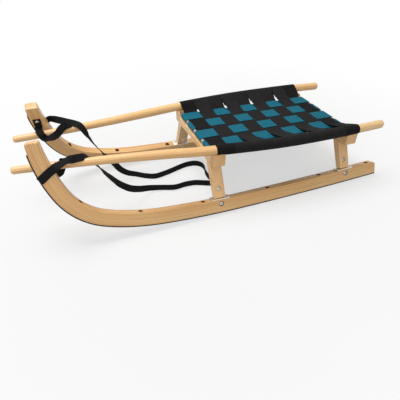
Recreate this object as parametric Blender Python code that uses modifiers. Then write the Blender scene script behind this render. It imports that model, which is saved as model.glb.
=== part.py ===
"""Two-seater wooden sled: bent runners, two trestles, round side rails, woven webbing seat.

Metres, +Z up. The sled travels towards -X, the rider's left side is -Y, the floor is z = 0.
Left pieces are drawn once and mirrored for the right side.
"""
import math

import bmesh
import bpy
from mathutils import Matrix, Vector

# Overall stance
LEAN = math.radians(16.4)
RUN_W, RUN_H = 0.029, 0.041
RUN_Y = 0.2043
CONTACT_X = 0.1915
REAR_X = 0.5740
GAP = 0.0003

# Sole line from the contact point forwards, then backwards: (radius, length) arcs
FRONT_ARCS = (
    (18.0, 0.145), (3.206, 0.2402), (0.90, 0.0848), (0.57, 0.100), (0.194, 0.157), (0.403, 0.161),
)
REAR_R = 13.0
REAR_ARC = (REAR_R, REAR_R * math.asin((REAR_X - CONTACT_X) / REAR_R))
STATION_STEPS = ((0.15, 0.1085), (0.30, 0.0525), (0.55, 0.038), (0.74, 0.021), (9.0, 0.027))
HORN_TAPER, TAPER_RUN = 0.0065, 0.110
TIP_CORNER, REAR_CORNER = 0.006, 0.012

# Steel strip under the sole
STRIP_W, STRIP_T = 0.027, 0.003
STRIP_STOP = 0.028
GROUND = (GAP + STRIP_T) * math.cos(LEAN) - (RUN_W - STRIP_W) / 2 * math.sin(LEAN)

# Strip screws, placed by the x of each nut recess on the runner's top face
RECESS_X = (-0.4225, -0.2678, -0.0751, 0.1488, 0.3460, 0.5435)
RECESS_R, RECESS_DEPTH = 0.0068, 0.010
BOLT_R = 0.0025
NUT_AF, NUT_H = 0.008, 0.004
HORN_SCREW_BACK, HORN_SCREW_L, HORN_SCREW_R = 0.045, 0.024, 0.0018

# Webbing: each band draws in a little where it is woven, and the bands' pitch sets the seat's length
WEB_T, WEB_W, WEB_SQUEEZE = 0.0016, 0.0534, 0.0028
WEB_W_WOVEN = WEB_W - WEB_SQUEEZE
EDGE_GAP, WEAVE_GAP = 0.0006, 0.0026
CROSS_N = 9
CROSS_PITCH, CROSS_PITCH_WOVEN = WEB_W + EDGE_GAP, WEB_W_WOVEN + WEAVE_GAP
SEAT_MID = 0.2170
SEAT_HALF = ((CROSS_N - 1) * CROSS_PITCH_WOVEN + WEB_W_WOVEN) / 2
LONG_N, LONG_PITCH, LONG_W = 4, 0.0700, 0.0525
LIFT = WEB_T / 2 + GAP
KNEE_Y, KNEE_EASE = (0.137, 0.097), (0.003, 0.012)
KNEE_RUN = 0.175
TAIL_Y = 0.1365
TAIL_RUN = 0.054
END_ANGLE = math.radians(-125)

# Trestles stand under the seat's two webbing bars; rail height over them is read from the rail itself
BAR_CLEAR = {"front": 0.0059, "rear": 0.0054}
BAR_X = {
    "front": SEAT_MID - SEAT_HALF - BAR_CLEAR["front"],
    "rear": SEAT_MID + SEAT_HALF + BAR_CLEAR["rear"],
}
BAR_BEHIND_FACE = {"front": 0.0110, "rear": 0.0329}
TRESTLES = {which: BAR_X[which] - BAR_BEHIND_FACE[which] for which in BAR_X}
BEAM_T, LEG_T = 0.040, 0.036
BEAM_END = {"front": 0.1770, "rear": 0.1930}
BEAM_DROP = 0.0535
ARCH_Y, ARCH_RISE = 0.118, 0.005
DISH_Y, SHOULDER_Y = 0.1335, 0.1485
BAR_DROP, BAR_R, BAR_HALF = 0.0205, 0.006, {"front": 0.1505, "rear": 0.1680}
DISH_DROP = 0.0085
SADDLE_DEPTH = 0.004
TENON_T, TENON_H = 0.018, 0.016
FOOT_OUT, FOOT_OUT_Z, FOOT_IN, FOOT_IN_Z = 0.1998, 0.0526, 0.1776, 0.0506
LEG_SLOPE_OUT, LEG_SLOPE_IN = 0.485, 0.535
FOOT_GAP = 0.0010

# Flexing joint between each leg and its runner
PLATE_L, PLATE_W, PLATE_T = 0.062, 0.0275, 0.003
PLATE_SCREW_R, PLATE_SCREW_HEAD_R, PLATE_SCREW_L = 0.0017, 0.0034, 0.020
PLATE_SCREW = (
    (0, -PLATE_SCREW_L), (PLATE_SCREW_R, 0.004 - PLATE_SCREW_L), (PLATE_SCREW_R, -0.0006),
    (PLATE_SCREW_HEAD_R, -0.0006), (PLATE_SCREW_HEAD_R, 0.0005), (0, 0.0015),
)
TONGUE_L, TONGUE_T, TONGUE_N = 0.024, 0.003, -0.0022
TONGUE_DOWN, TONGUE_UP = 0.031, 0.042
SLOT_SIDE = 0.0022
RUN_BOLT_T = 0.0282
JOINT_BOLT_R, JOINT_HEAD_R, JOINT_HEAD_H = 0.003, 0.0068, 0.0032
HEAD_ROOM, NUT_POCKET_R, NUT_POCKET = 0.0009, 0.0062, 0.004
LEG_BOLT_UP = 0.030
PIN_HOLE_R, PIN_HOLE_UP = 0.0014, 0.0095

# Side rails: knots of the axis (x, y, z above the wood's sole) and end shape
RAIL_KNOTS = (
    (-0.6155, 0.0864, 0.2183), (-0.5305, 0.0934, 0.2161), (-0.4105, 0.1060, 0.2133),
    (-0.2905, 0.1220, 0.2107), (-0.1705, 0.1413, 0.2079), (-0.0505, 0.1627, 0.2049),
    (0.1995, 0.1891, 0.1988), (0.4475, 0.1900, 0.1935), (0.5545, 0.1846, 0.1907),
    (0.6200, 0.1800, 0.1892),
)
RAIL_FRONT, RAIL_BACK = -0.5740, 0.5676
RAIL_R, RAIL_TIP_R = 0.0140, 0.0102
RAIL_TAPER_X = -0.120
RAIL_SCREW_R, RAIL_SCREW_HEAD_R, RAIL_SCREW_HEAD_H = 0.0025, 0.0050, 0.0033
RAIL_SCREW_WAY_R, RAIL_SCREW_SEAT, RAIL_SCREW_BITE, RAIL_SCREW_X = 0.0062, 0.008, 0.0045, 0.004
RAIL_SCREW_WALL = 0.0018

# Pull strap, its two slack loops and the screw that holds each loop to a horn
STRAP_W, STRAP_T = 0.022, 0.0018
STRAP_SCREW_R, STRAP_SCREW_HEAD_R, STRAP_SCREW_END = 0.0020, 0.0052, 0.0075
STRAP_SCREW_X, STRAP_SCREW_T = -0.4970, 0.2610

MATS = {
    "wood": ((0.80, 0.58, 0.35, 1), 0.50, 0.0),
    "steel": ((0.55, 0.55, 0.56, 1), 0.35, 1.0),
    "zinc": ((0.72, 0.71, 0.68, 1), 0.40, 1.0),
    "black_webbing": ((0.035, 0.035, 0.038, 1), 0.85, 0.0),
    "teal_webbing": ((0.05, 0.25, 0.31, 1), 0.80, 0.0),
}


# Scene and object helpers
for old in list(bpy.data.objects):
    bpy.data.objects.remove(old, do_unlink=True)

parts = bpy.data.collections.new("wooden_sled")
cutters = bpy.data.collections.new("cutters")
bpy.context.scene.collection.children.link(parts)
bpy.context.scene.collection.children.link(cutters)
cutters.hide_render = True


def material(name):
    mat = bpy.data.materials.get(name)
    if mat is None:
        mat = bpy.data.materials.new(name)
        mat.use_nodes = True
        shader = mat.node_tree.nodes["Principled BSDF"]
        colour, rough, metal = MATS[name]
        shader.inputs["Base Color"].default_value = colour
        shader.inputs["Roughness"].default_value = rough
        shader.inputs["Metallic"].default_value = metal
    return mat


def add(name, mesh, mat, smooth=False):
    """One sub-part, placed by its location at the middle of its bounding box."""
    mesh.name = name
    low = [min(v.co[k] for v in mesh.vertices) for k in range(3)]
    high = [max(v.co[k] for v in mesh.vertices) for k in range(3)]
    middle = (Vector(low) + Vector(high)) / 2
    mesh.transform(Matrix.Translation(-middle))
    mesh.materials.clear()
    mesh.materials.append(material(mat))
    if smooth:
        mesh.shade_smooth()
        mesh.set_sharp_from_angle(angle=math.radians(35))
    obj = bpy.data.objects.new(name, mesh)
    obj.location = middle
    parts.objects.link(obj)
    return obj


def cutter(name, mesh):
    obj = bpy.data.objects.new("cut_" + name, mesh)
    obj.hide_render = True
    obj.display_type = "WIRE"
    cutters.objects.link(obj)
    return obj


def placed(mesh, matrix):
    mesh.transform(matrix)
    if matrix.determinant() < 0:
        mesh.flip_normals()
    return mesh


def boolean(obj, tool, operation="DIFFERENCE"):
    mod = obj.modifiers.new(operation.lower(), "BOOLEAN")
    mod.operation = operation
    mod.solver = "EXACT"
    mod.object = tool


def bevel(obj, width, segments=2, angle=40):
    mod = obj.modifiers.new("edges", "BEVEL")
    mod.width = width
    mod.segments = segments
    mod.limit_method = "ANGLE"
    mod.angle_limit = math.radians(angle)
    mod.use_clamp_overlap = True


def finished(bm):
    bmesh.ops.remove_doubles(bm, verts=bm.verts, dist=0.00002)
    bmesh.ops.recalc_face_normals(bm, faces=bm.faces)
    mesh = bpy.data.meshes.new("mesh")
    bm.to_mesh(mesh)
    bm.free()
    return mesh


def from_curve(curve):
    """The evaluated mesh of a curve, closed, with the curve removed."""
    obj = bpy.data.objects.new("curve", curve)
    bpy.context.scene.collection.objects.link(obj)
    graph = bpy.context.evaluated_depsgraph_get()
    mesh = bpy.data.meshes.new_from_object(obj.evaluated_get(graph))
    bpy.data.objects.remove(obj, do_unlink=True)
    bm = bmesh.new()
    bm.from_mesh(mesh)
    return finished(bm)


def plate(outlines, thickness):
    """Flat piece in local XY, centred on local Z; further outlines are holes."""
    curve = bpy.data.curves.new("outline", "CURVE")
    curve.dimensions = "2D"
    curve.fill_mode = "BOTH"
    curve.extrude = thickness / 2
    for outline in outlines:
        line = curve.splines.new("POLY")
        line.points.add(len(outline) - 1)
        for point, (x, y) in zip(line.points, outline):
            point.co = (x, y, 0, 1)
        line.use_cyclic_u = True
    return from_curve(curve)


def turned(profile, steps=24):
    """Solid turned about local Z from (radius, height) points, low to high; a ring closes on itself."""
    points = profile[::-1]
    ring = points[0][0] > 0
    edges = [(i, i + 1) for i in range(len(points) - 1)] + ([(len(points) - 1, 0)] if ring else [])
    mesh = bpy.data.meshes.new("profile")
    mesh.from_pydata([(r, 0, z) for r, z in points], edges, [])
    obj = bpy.data.objects.new("profile", mesh)
    bpy.context.scene.collection.objects.link(obj)
    mod = obj.modifiers.new("turn", "SCREW")
    mod.steps = mod.render_steps = steps
    mod.use_merge_vertices = True
    mod.merge_threshold = 0.00002
    graph = bpy.context.evaluated_depsgraph_get()
    solid = bpy.data.meshes.new_from_object(obj.evaluated_get(graph))
    bpy.data.objects.remove(obj, do_unlink=True)
    bm = bmesh.new()
    bm.from_mesh(solid)
    return finished(bm)


def rod(radius, low, high, steps=24):
    bm = bmesh.new()
    bmesh.ops.create_cone(bm, cap_ends=True, segments=steps, radius1=radius, radius2=radius,
                          depth=high - low)
    bmesh.ops.translate(bm, verts=bm.verts, vec=(0, 0, (high + low) / 2))
    return finished(bm)


def box(low, high):
    bm = bmesh.new()
    bmesh.ops.create_cube(bm, size=1)
    size = Vector(high) - Vector(low)
    bmesh.ops.scale(bm, verts=bm.verts, vec=size)
    bmesh.ops.translate(bm, verts=bm.verts, vec=(Vector(high) + Vector(low)) / 2)
    return finished(bm)


def arc(cx, cy, r, start, end, n=6):
    angles = [math.radians(start + (end - start) * i / n) for i in range(n + 1)]
    return [(cx + r * math.cos(a), cy + r * math.sin(a)) for a in angles]


def hexagon(across_flats):
    r = across_flats / 2 / math.cos(math.pi / 6)
    return arc(0, 0, r, 0, 300, 5)


def bolt_way(face, back):
    """Cutter for a joint bolt: pocket for its nut, shank hole and recess for its head."""
    shank, head = JOINT_BOLT_R + GAP, JOINT_HEAD_R + HEAD_ROOM
    nut_seat, head_seat = NUT_POCKET - back, face - JOINT_HEAD_H
    return turned([(0, -0.05), (NUT_POCKET_R, -0.05), (NUT_POCKET_R, nut_seat), (shank, nut_seat),
                   (shank, head_seat), (head, head_seat), (head, 0.05), (0, 0.05)], 12)


def circle(cx, cy, r, n=16):
    return arc(cx, cy, r, 0, 360 * (n - 1) / n, n - 1)


def axis_frame(origin, direction, up=(1, 0, 0)):
    """Local Z along direction, local X as near as possible to up."""
    z = Vector(direction).normalized()
    x = (Vector(up) - z * z.dot(Vector(up))).normalized()
    y = z.cross(x)
    m = Matrix((x, y, z)).transposed().to_4x4()
    m.translation = Vector(origin)
    return m


def mirror(side):
    return Matrix.Identity(4) if side == "left" else Matrix.Scale(-1, 4, (0, 1, 0))


SIDES = ("left", "right")
UP, ALONG = (0, 0, 1), (1, 0, 0)

# Runner plane of the left side: local x, t (up the wood), n (outwards)
RUNNER_PLANE = Matrix((
    (1, 0, 0, 0),
    (0, math.sin(LEAN), -math.cos(LEAN), -RUN_Y),
    (0, math.cos(LEAN), math.sin(LEAN), RUN_W / 2 * math.sin(LEAN) + GROUND),
    (0, 0, 0, 1),
))


def on_runner(x, t, n):
    return RUNNER_PLANE @ Vector((x, t, n))


def runner_dir(x, t, n):
    return RUNNER_PLANE.to_3x3() @ Vector((x, t, n))


# Sole line
SOLE_FRONT = sum(length for _, length in FRONT_ARCS)


def sole(s):
    """Point and slope of the sole, s metres forwards of the contact point."""
    if s < 0:
        a = -s / REAR_ARC[0]
        return CONTACT_X + REAR_ARC[0] * math.sin(a), REAR_ARC[0] * (1 - math.cos(a)), -a
    x, t, a = CONTACT_X, 0.0, 0.0
    for radius, length in FRONT_ARCS:
        step = min(s, length)
        b = a + step / radius
        x -= radius * (math.sin(b) - math.sin(a))
        t += radius * (math.cos(a) - math.cos(b))
        a, s = b, s - step
        if s <= 0:
            break
    return x, t, a


def off_sole(s, h):
    x, t, a = sole(s)
    return x + h * math.sin(a), t + h * math.cos(a)


def height(s):
    """Depth of the wood above the sole, thinner towards the horn's tip."""
    left = min(max(SOLE_FRONT - s, 0), TAPER_RUN)
    return RUN_H - HORN_TAPER * (1 - left / TAPER_RUN) ** 1.6


def stations(first, last):
    """Sole stations, closer where the bend is tighter."""
    out, s = [first], first
    while s < last - 1e-6:
        spacing = next(step for limit, step in STATION_STEPS if s < limit)
        s = min(s + spacing, last)
        if last - s < spacing * 0.4:
            s = last
        out.append(s)
    return out


def s_of_top(x):
    """Station whose top-face point has this x."""
    low, high = -REAR_ARC[1], SOLE_FRONT
    for _ in range(50):
        mid = (low + high) / 2
        if off_sole(mid, height(mid))[0] > x:
            low = mid
        else:
            high = mid
    return low


def runner_outline():
    line = stations(-REAR_ARC[1], SOLE_FRONT - TIP_CORNER)
    under = [sole(s)[:2] for s in line]
    tip_x, tip_t, _ = sole(SOLE_FRONT)
    corner = [(x, t) for x, t in arc(tip_x + TIP_CORNER, tip_t - TIP_CORNER, TIP_CORNER, 180, 90, 4)][1:]
    back_h = height(SOLE_FRONT)
    back = arc(tip_x + back_h - 0.004, tip_t - 0.0065, 0.004, 80, 10, 3)
    line = [s for s in line[::-1] if s < SOLE_FRONT - 0.018]
    over = [off_sole(s, height(s)) for s in line]
    over = [p for p in over if p[0] < REAR_X - REAR_CORNER - 0.004]
    end_x, end_t = off_sole(-REAR_ARC[1], RUN_H)
    rear = arc(REAR_X - REAR_CORNER, end_t - REAR_CORNER, REAR_CORNER, 90, 0, 5)
    return under + corner + back + over + rear


def strip_outline():
    line = stations(-REAR_ARC[1], SOLE_FRONT - STRIP_STOP)
    under = [off_sole(s, -GAP - STRIP_T) for s in line]
    over = [off_sole(s, -GAP) for s in line[::-1]]
    return under + over


def sole_frame(s, h=0.0, n=0.0):
    """Local Z from the sole into the wood, at height h."""
    x, t = off_sole(s, h)
    a = sole(s)[2]
    return axis_frame(on_runner(x, t, n), runner_dir(math.sin(a), math.cos(a), 0),
                      runner_dir(math.cos(a), -math.sin(a), 0))


# Side rails
def spline_value(knots, x, k):
    """Smooth value of coordinate k at x through the knots."""
    xs = [p[0] for p in knots]
    i = max(0, min(len(knots) - 2, sum(1 for v in xs if v <= x) - 1))

    def slope(j):
        a, b = max(j - 1, 0), min(j + 1, len(knots) - 1)
        return (knots[b][k] - knots[a][k]) / (xs[b] - xs[a])

    h = xs[i + 1] - xs[i]
    u = (x - xs[i]) / h
    p, q = knots[i][k], knots[i + 1][k]
    m, n = slope(i) * h, slope(i + 1) * h
    return ((2 * u**3 - 3 * u**2 + 1) * p + (u**3 - 2 * u**2 + u) * m
            + (-2 * u**3 + 3 * u**2) * q + (u**3 - u**2) * n)


def rail_y(x):
    return spline_value(RAIL_KNOTS, x, 1)


def rail_z(x):
    return spline_value(RAIL_KNOTS, x, 2) + GROUND


def rail_r(x):
    """Rail radius: full under the seat, slimmer to the front, rounded ends."""
    u = max(0.0, min(1.0, (RAIL_TAPER_X - x) / (RAIL_TAPER_X - RAIL_FRONT)))
    r = RAIL_R - (RAIL_R - RAIL_TIP_R) * u
    for end, depth in ((RAIL_FRONT, 0.007), (RAIL_BACK, 0.010)):
        d = abs(x - end)
        if d < depth:
            r *= 0.45 + 0.55 * math.sqrt(max(0.0, 1 - (1 - d / depth) ** 2))
    return r


def rail_stations():
    front = [RAIL_FRONT + d for d in (0, 0.0006, 0.002, 0.0042, 0.007)]
    back = [RAIL_BACK - d for d in (0.010, 0.006, 0.003, 0.0008, 0)]
    count = 20
    middle = [front[-1] + (back[0] - front[-1]) * i / count for i in range(1, count)]
    return front + middle + back


def rail_mesh():
    curve = bpy.data.curves.new("rail", "CURVE")
    curve.dimensions = "3D"
    curve.bevel_depth = 1.0
    curve.bevel_resolution = 4
    curve.use_fill_caps = True
    line = curve.splines.new("POLY")
    xs = rail_stations()
    line.points.add(len(xs) - 1)
    for point, x in zip(line.points, xs):
        point.co = (x, -rail_y(x), rail_z(x), 1)
        point.radius = rail_r(x)
    return from_curve(curve)


# Joint between leg and runner, left side
def trestle_mid(which):
    return TRESTLES[which] + LEG_T / 2


LEG_DIR = Vector((0, math.sin(math.atan((LEG_SLOPE_OUT + LEG_SLOPE_IN) / 2)),
                  math.cos(math.atan((LEG_SLOPE_OUT + LEG_SLOPE_IN) / 2))))
OUT_NORMAL = Vector((0, -math.cos(math.atan(LEG_SLOPE_OUT)), math.sin(math.atan(LEG_SLOPE_OUT))))


class Trestle:
    """Positions that the pieces of one trestle share."""

    def __init__(self, which):
        self.which = which
        self.x = trestle_mid(which)
        self.face = TRESTLES[which]
        s = s_of_top(self.x)
        self.s = s
        self.top_t = off_sole(s, RUN_H)[1]
        self.base = on_runner(self.x, self.top_t + GAP + PLATE_T + FOOT_GAP, 0)
        self.hinge = on_runner(self.x, self.top_t + 0.0018, TONGUE_N)
        self.rail_y = rail_y(self.x)
        self.rail_z = rail_z(self.x)
        self.end_y = BEAM_END[which]
        self.screw_y = min(self.rail_y, self.end_y - RAIL_SCREW_WAY_R - RAIL_SCREW_WALL)
        self.bottom = self.rail_z - BEAM_DROP
        self.top = self.rail_z - RAIL_R + SADDLE_DEPTH
        self.bar_z = rail_z(BAR_X[which]) - BAR_DROP
        self.dish = self.bar_z - DISH_DROP

    def foot_z(self, y):
        """Height of the leg's sloping foot at this (positive) y."""
        return self.base.z + (y + self.base.y) * math.tan(LEAN)

    def out_y(self, z):
        return FOOT_OUT - LEG_SLOPE_OUT * (z - FOOT_OUT_Z)

    def in_y(self, z):
        return FOOT_IN - LEG_SLOPE_IN * (z - FOOT_IN_Z)


def leg_outline(tr):
    """(y, z) outline of the left leg without its tenon; y is negative on the left."""
    z_top = tr.bottom - GAP
    z_out, z_in = FOOT_OUT_Z, FOOT_IN_Z
    for _ in range(20):
        z_out = tr.foot_z(tr.out_y(z_out))
        z_in = tr.foot_z(tr.in_y(z_in))
    return [(-tr.out_y(z_out), z_out), (-tr.in_y(z_in), z_in),
            (-tr.in_y(z_top), z_top), (-tr.out_y(z_top), z_top)]


def tenon_outline(tr, grow):
    low, high = tr.bottom - 0.004, tr.bottom + TENON_H + grow
    return [(-tr.in_y(low) - 0.004 + grow, low), (-tr.in_y(high) - 0.004 + grow, high),
            (-tr.out_y(high) + 0.004 - grow, high), (-tr.out_y(low) + 0.004 - grow, low)]


YZ = Matrix(((0, 0, 1, 0), (1, 0, 0, 0), (0, 1, 0, 0), (0, 0, 0, 1)))


def yz_plate(outline, x_mid, thickness):
    return placed(plate([outline], thickness), Matrix.Translation((x_mid, 0, 0)) @ YZ)


def beam_outline(tr):
    half = [(y, tr.bottom + ARCH_RISE * (1 - (y / ARCH_Y) ** 2))
            for y in [ARCH_Y * i / 6 for i in range(7)]]
    half += [(tr.end_y - 0.002, tr.bottom), (tr.end_y, tr.bottom + 0.002)]
    half += [(tr.end_y, tr.top - 0.0015), (tr.end_y - 0.0015, tr.top)]
    rise, mid_y = tr.top - tr.dish, (DISH_Y + SHOULDER_Y) / 2
    width = SHOULDER_Y - DISH_Y
    for i in range(7):
        u = 1 - i / 6
        half.append((DISH_Y + width * u, tr.dish + rise * (3 * u * u - 2 * u**3)))
    left = [(-y, z) for y, z in half[::-1]]
    return half + left[:-1]


def build_beam(tr):
    mesh = yz_plate(beam_outline(tr), tr.face + BEAM_T / 2, BEAM_T)
    obj = add(f"{tr.which}_crossbeam", mesh, "wood")
    bevel(obj, 0.0015, 1, 50)
    bar_x, bar_half = BAR_X[tr.which], BAR_HALF[tr.which]
    tools = []
    for side in SIDES:
        m = mirror(side)
        name = f"{tr.which}_{side}"
        saddle = rod(RAIL_R + GAP + 0.0002, -0.06, 0.06, 32)
        a, b = tr.x - 0.03, tr.x + 0.03
        slope = Vector((b - a, -(rail_y(b) - rail_y(a)), rail_z(b) - rail_z(a)))
        placed(saddle, axis_frame((tr.x, -tr.rail_y, tr.rail_z), slope, (0, 0, 1)))
        tools.append(cutter("saddle_" + name, placed(saddle, m)))
        groove = rod(BAR_R + GAP + 0.0001, -0.03, 0.03, 16)
        placed(groove, axis_frame((bar_x, -bar_half + 0.03 - GAP, tr.bar_z), (0, 1, 0)))
        tools.append(cutter("groove_" + name, placed(groove, m)))
        lid = box((bar_x - BAR_R - GAP, -bar_half - GAP, tr.bar_z),
                  (bar_x + BAR_R + GAP, -bar_half + 0.06, tr.top + 0.02))
        tools.append(cutter("groove_lid_" + name, placed(lid, m)))
        mortise = yz_plate(tenon_outline(tr, GAP), tr.x, TENON_T + 2 * GAP)
        tools.append(cutter("mortise_" + name, placed(mortise, m)))
        shank = RAIL_SCREW_R + GAP
        screw = turned([(0, -0.01), (RAIL_SCREW_WAY_R, -0.01), (RAIL_SCREW_WAY_R, RAIL_SCREW_SEAT),
                        (shank, RAIL_SCREW_SEAT), (shank, 0.06), (0, 0.06)], 10)
        placed(screw, axis_frame((tr.x + RAIL_SCREW_X, -tr.screw_y, tr.bottom), UP))
        tools.append(cutter("screw_way_" + name, placed(screw, m)))
    for tool in tools:
        boolean(obj, tool)


def leg_bolt_frame(tr):
    """Outwards along the leg bolt, from the tongue's middle plane."""
    centre = tr.hinge + Vector((0, LEG_DIR.y, LEG_DIR.z)) * LEG_BOLT_UP
    return axis_frame(centre, OUT_NORMAL)


def leg_face_distance(tr):
    """From the tongue's middle plane to the leg's outer face along the bolt."""
    c = leg_bolt_frame(tr).translation
    p = Vector((tr.x, -tr.out_y(c.z), c.z))
    return (p - c).dot(OUT_NORMAL)


def leg_back_distance(tr):
    c = leg_bolt_frame(tr).translation
    p = Vector((tr.x, -tr.in_y(c.z), c.z))
    inner = Vector((0, math.cos(math.atan(LEG_SLOPE_IN)), -math.sin(math.atan(LEG_SLOPE_IN))))
    return (p - c).dot(inner) / (-OUT_NORMAL).dot(inner)


def build_leg(tr, side):
    m = mirror(side)
    name = f"{tr.which}_leg_{side}"
    obj = add(name, placed(yz_plate(leg_outline(tr), tr.x, LEG_T), m), "wood")
    bevel(obj, 0.0018, 1)
    tenon = placed(yz_plate(tenon_outline(tr, 0.0), tr.x, TENON_T), m)
    boolean(obj, cutter("tenon_" + name, tenon), "UNION")
    slot = box((-TONGUE_L / 2 - GAP, -TONGUE_T / 2 - GAP, -0.012),
               (TONGUE_L / 2 + GAP, TONGUE_T / 2 + GAP, TONGUE_UP + GAP))
    placed(slot, axis_frame(tr.hinge, LEG_DIR))
    boolean(obj, cutter("slot_" + name, placed(slot, m)))
    face, back = leg_face_distance(tr), leg_back_distance(tr)
    way = placed(bolt_way(face, back), leg_bolt_frame(tr))
    boolean(obj, cutter("bolt_way_" + name, placed(way, m)))
    up = Vector((0, -OUT_NORMAL.z * -1, -OUT_NORMAL.y))
    centre = leg_bolt_frame(tr).translation + up * PIN_HOLE_UP
    pin = rod(PIN_HOLE_R, face - 0.006, 0.05, 8)
    placed(pin, axis_frame(centre, OUT_NORMAL))
    boolean(obj, cutter("pin_hole_" + name, placed(pin, m)))


def build_tongue(tr, side):
    """Bent spring-steel tongue: lower part in the runner, upper part in the leg."""
    m = mirror(side)
    run_dir = runner_dir(0, 1, 0)
    low = tr.hinge - run_dir * TONGUE_DOWN
    high = tr.hinge + LEG_DIR * TONGUE_UP
    side_low = runner_dir(0, 0, 1) * (TONGUE_T / 2)
    side_high = Vector((0, -LEG_DIR.z, LEG_DIR.y)) * (TONGUE_T / 2)
    middle = (side_low + side_high).normalized() * (TONGUE_T / 2)
    points = [low + side_low, tr.hinge + middle, high + side_high,
              high - side_high, tr.hinge - middle, low - side_low]
    outline = [(p.y, p.z) for p in points]
    mesh = placed(yz_plate(outline, tr.x, TONGUE_L), m)
    obj = add(f"{tr.which}_tongue_{side}", mesh, "steel")
    hole = placed(rod(JOINT_BOLT_R + GAP + 0.0001, -0.01, 0.01, 12), leg_bolt_frame(tr))
    boolean(obj, cutter(f"leg_bolt_hole_{tr.which}_{side}", placed(hole, m)))
    hole = placed(rod(JOINT_BOLT_R + 0.0005, -0.01, 0.01, 12), run_bolt_frame(tr))
    boolean(obj, cutter(f"run_bolt_hole_{tr.which}_{side}", placed(hole, m)))


def run_bolt_frame(tr):
    x, t = off_sole(tr.s, RUN_BOLT_T)
    return axis_frame(on_runner(x, t, 0), runner_dir(0, 0, 1))


def joint_bolt(face, back):
    """Domed bolt from the outer face to a nut at the back: bolt and nut meshes along local Z."""
    r, h = JOINT_HEAD_R, JOINT_HEAD_H - GAP
    head = face - JOINT_HEAD_H + GAP
    dome = [(r, head + h * 0.55), (r * 0.8, head + h * 0.9), (0, head + h)]
    shank = [(0, -back - 0.0005), (JOINT_BOLT_R, -back - 0.0005), (JOINT_BOLT_R, head), (r, head)]
    bolt = turned(shank + dome, 12)
    nut = plate([hexagon(0.0100), circle(0, 0, JOINT_BOLT_R + GAP, 12)], 0.0034)
    return bolt, placed(nut, Matrix.Translation((0, 0, -back + 0.0021)))


def build_joint_bolts(tr, side):
    m = mirror(side)
    leg = (leg_bolt_frame(tr), leg_face_distance(tr), leg_back_distance(tr))
    run = (run_bolt_frame(tr), RUN_W / 2, RUN_W / 2)
    for piece, (frame, face, back) in (("leg", leg), ("runner", run)):
        bolt, nut = joint_bolt(face, back)
        add(f"{tr.which}_{piece}_bolt_{side}", placed(placed(bolt, frame), m), "zinc", True)
        add(f"{tr.which}_{piece}_nut_{side}", placed(placed(nut, frame), m), "zinc")


def plate_frame(tr):
    """Foot plate's local frame: X along the runner, Y across it, Z out of its top face."""
    x, t = off_sole(tr.s, RUN_H + GAP + PLATE_T / 2)
    a = sole(tr.s)[2]
    return axis_frame(on_runner(x, t, 0), runner_dir(math.sin(a), math.cos(a), 0),
                      runner_dir(math.cos(a), -math.sin(a), 0))


def plate_hole_x():
    return PLATE_L / 2 - 0.006


def build_foot_plates(side):
    m = mirror(side)
    for tr in trestles:
        half_l, half_w, r = PLATE_L / 2, PLATE_W / 2, 0.004
        x, y = half_l - r, half_w - r
        outline = (arc(x, y, r, 0, 90, 2) + arc(-x, y, r, 90, 180, 2)
                   + arc(-x, -y, r, 180, 270, 2) + arc(x, -y, r, 270, 360, 2))
        frame = plate_frame(tr)
        mid = (frame.inverted() @ tr.hinge).y
        sx, sy = TONGUE_L / 2 + 0.0008, TONGUE_T / 2 + 0.0012
        slot = [(sx, mid - sy), (sx, mid + sy), (-sx, mid + sy), (-sx, mid - sy)]
        mesh = placed(placed(plate([outline, slot], PLATE_T), frame), m)
        obj = add(f"{tr.which}_foot_plate_{side}", mesh, "zinc")
        for i, spot in enumerate(plate_screw_frames(tr)):
            screw = placed(placed(turned(PLATE_SCREW, 10), spot), m)
            boolean(obj, cutter(f"plate_screw_{tr.which}_{side}_{i}", screw), "UNION")


def plate_screw_frames(tr):
    return [plate_frame(tr) @ Matrix.Translation((s * plate_hole_x(), 0, PLATE_T / 2)) for s in (-1, 1)]


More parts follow.
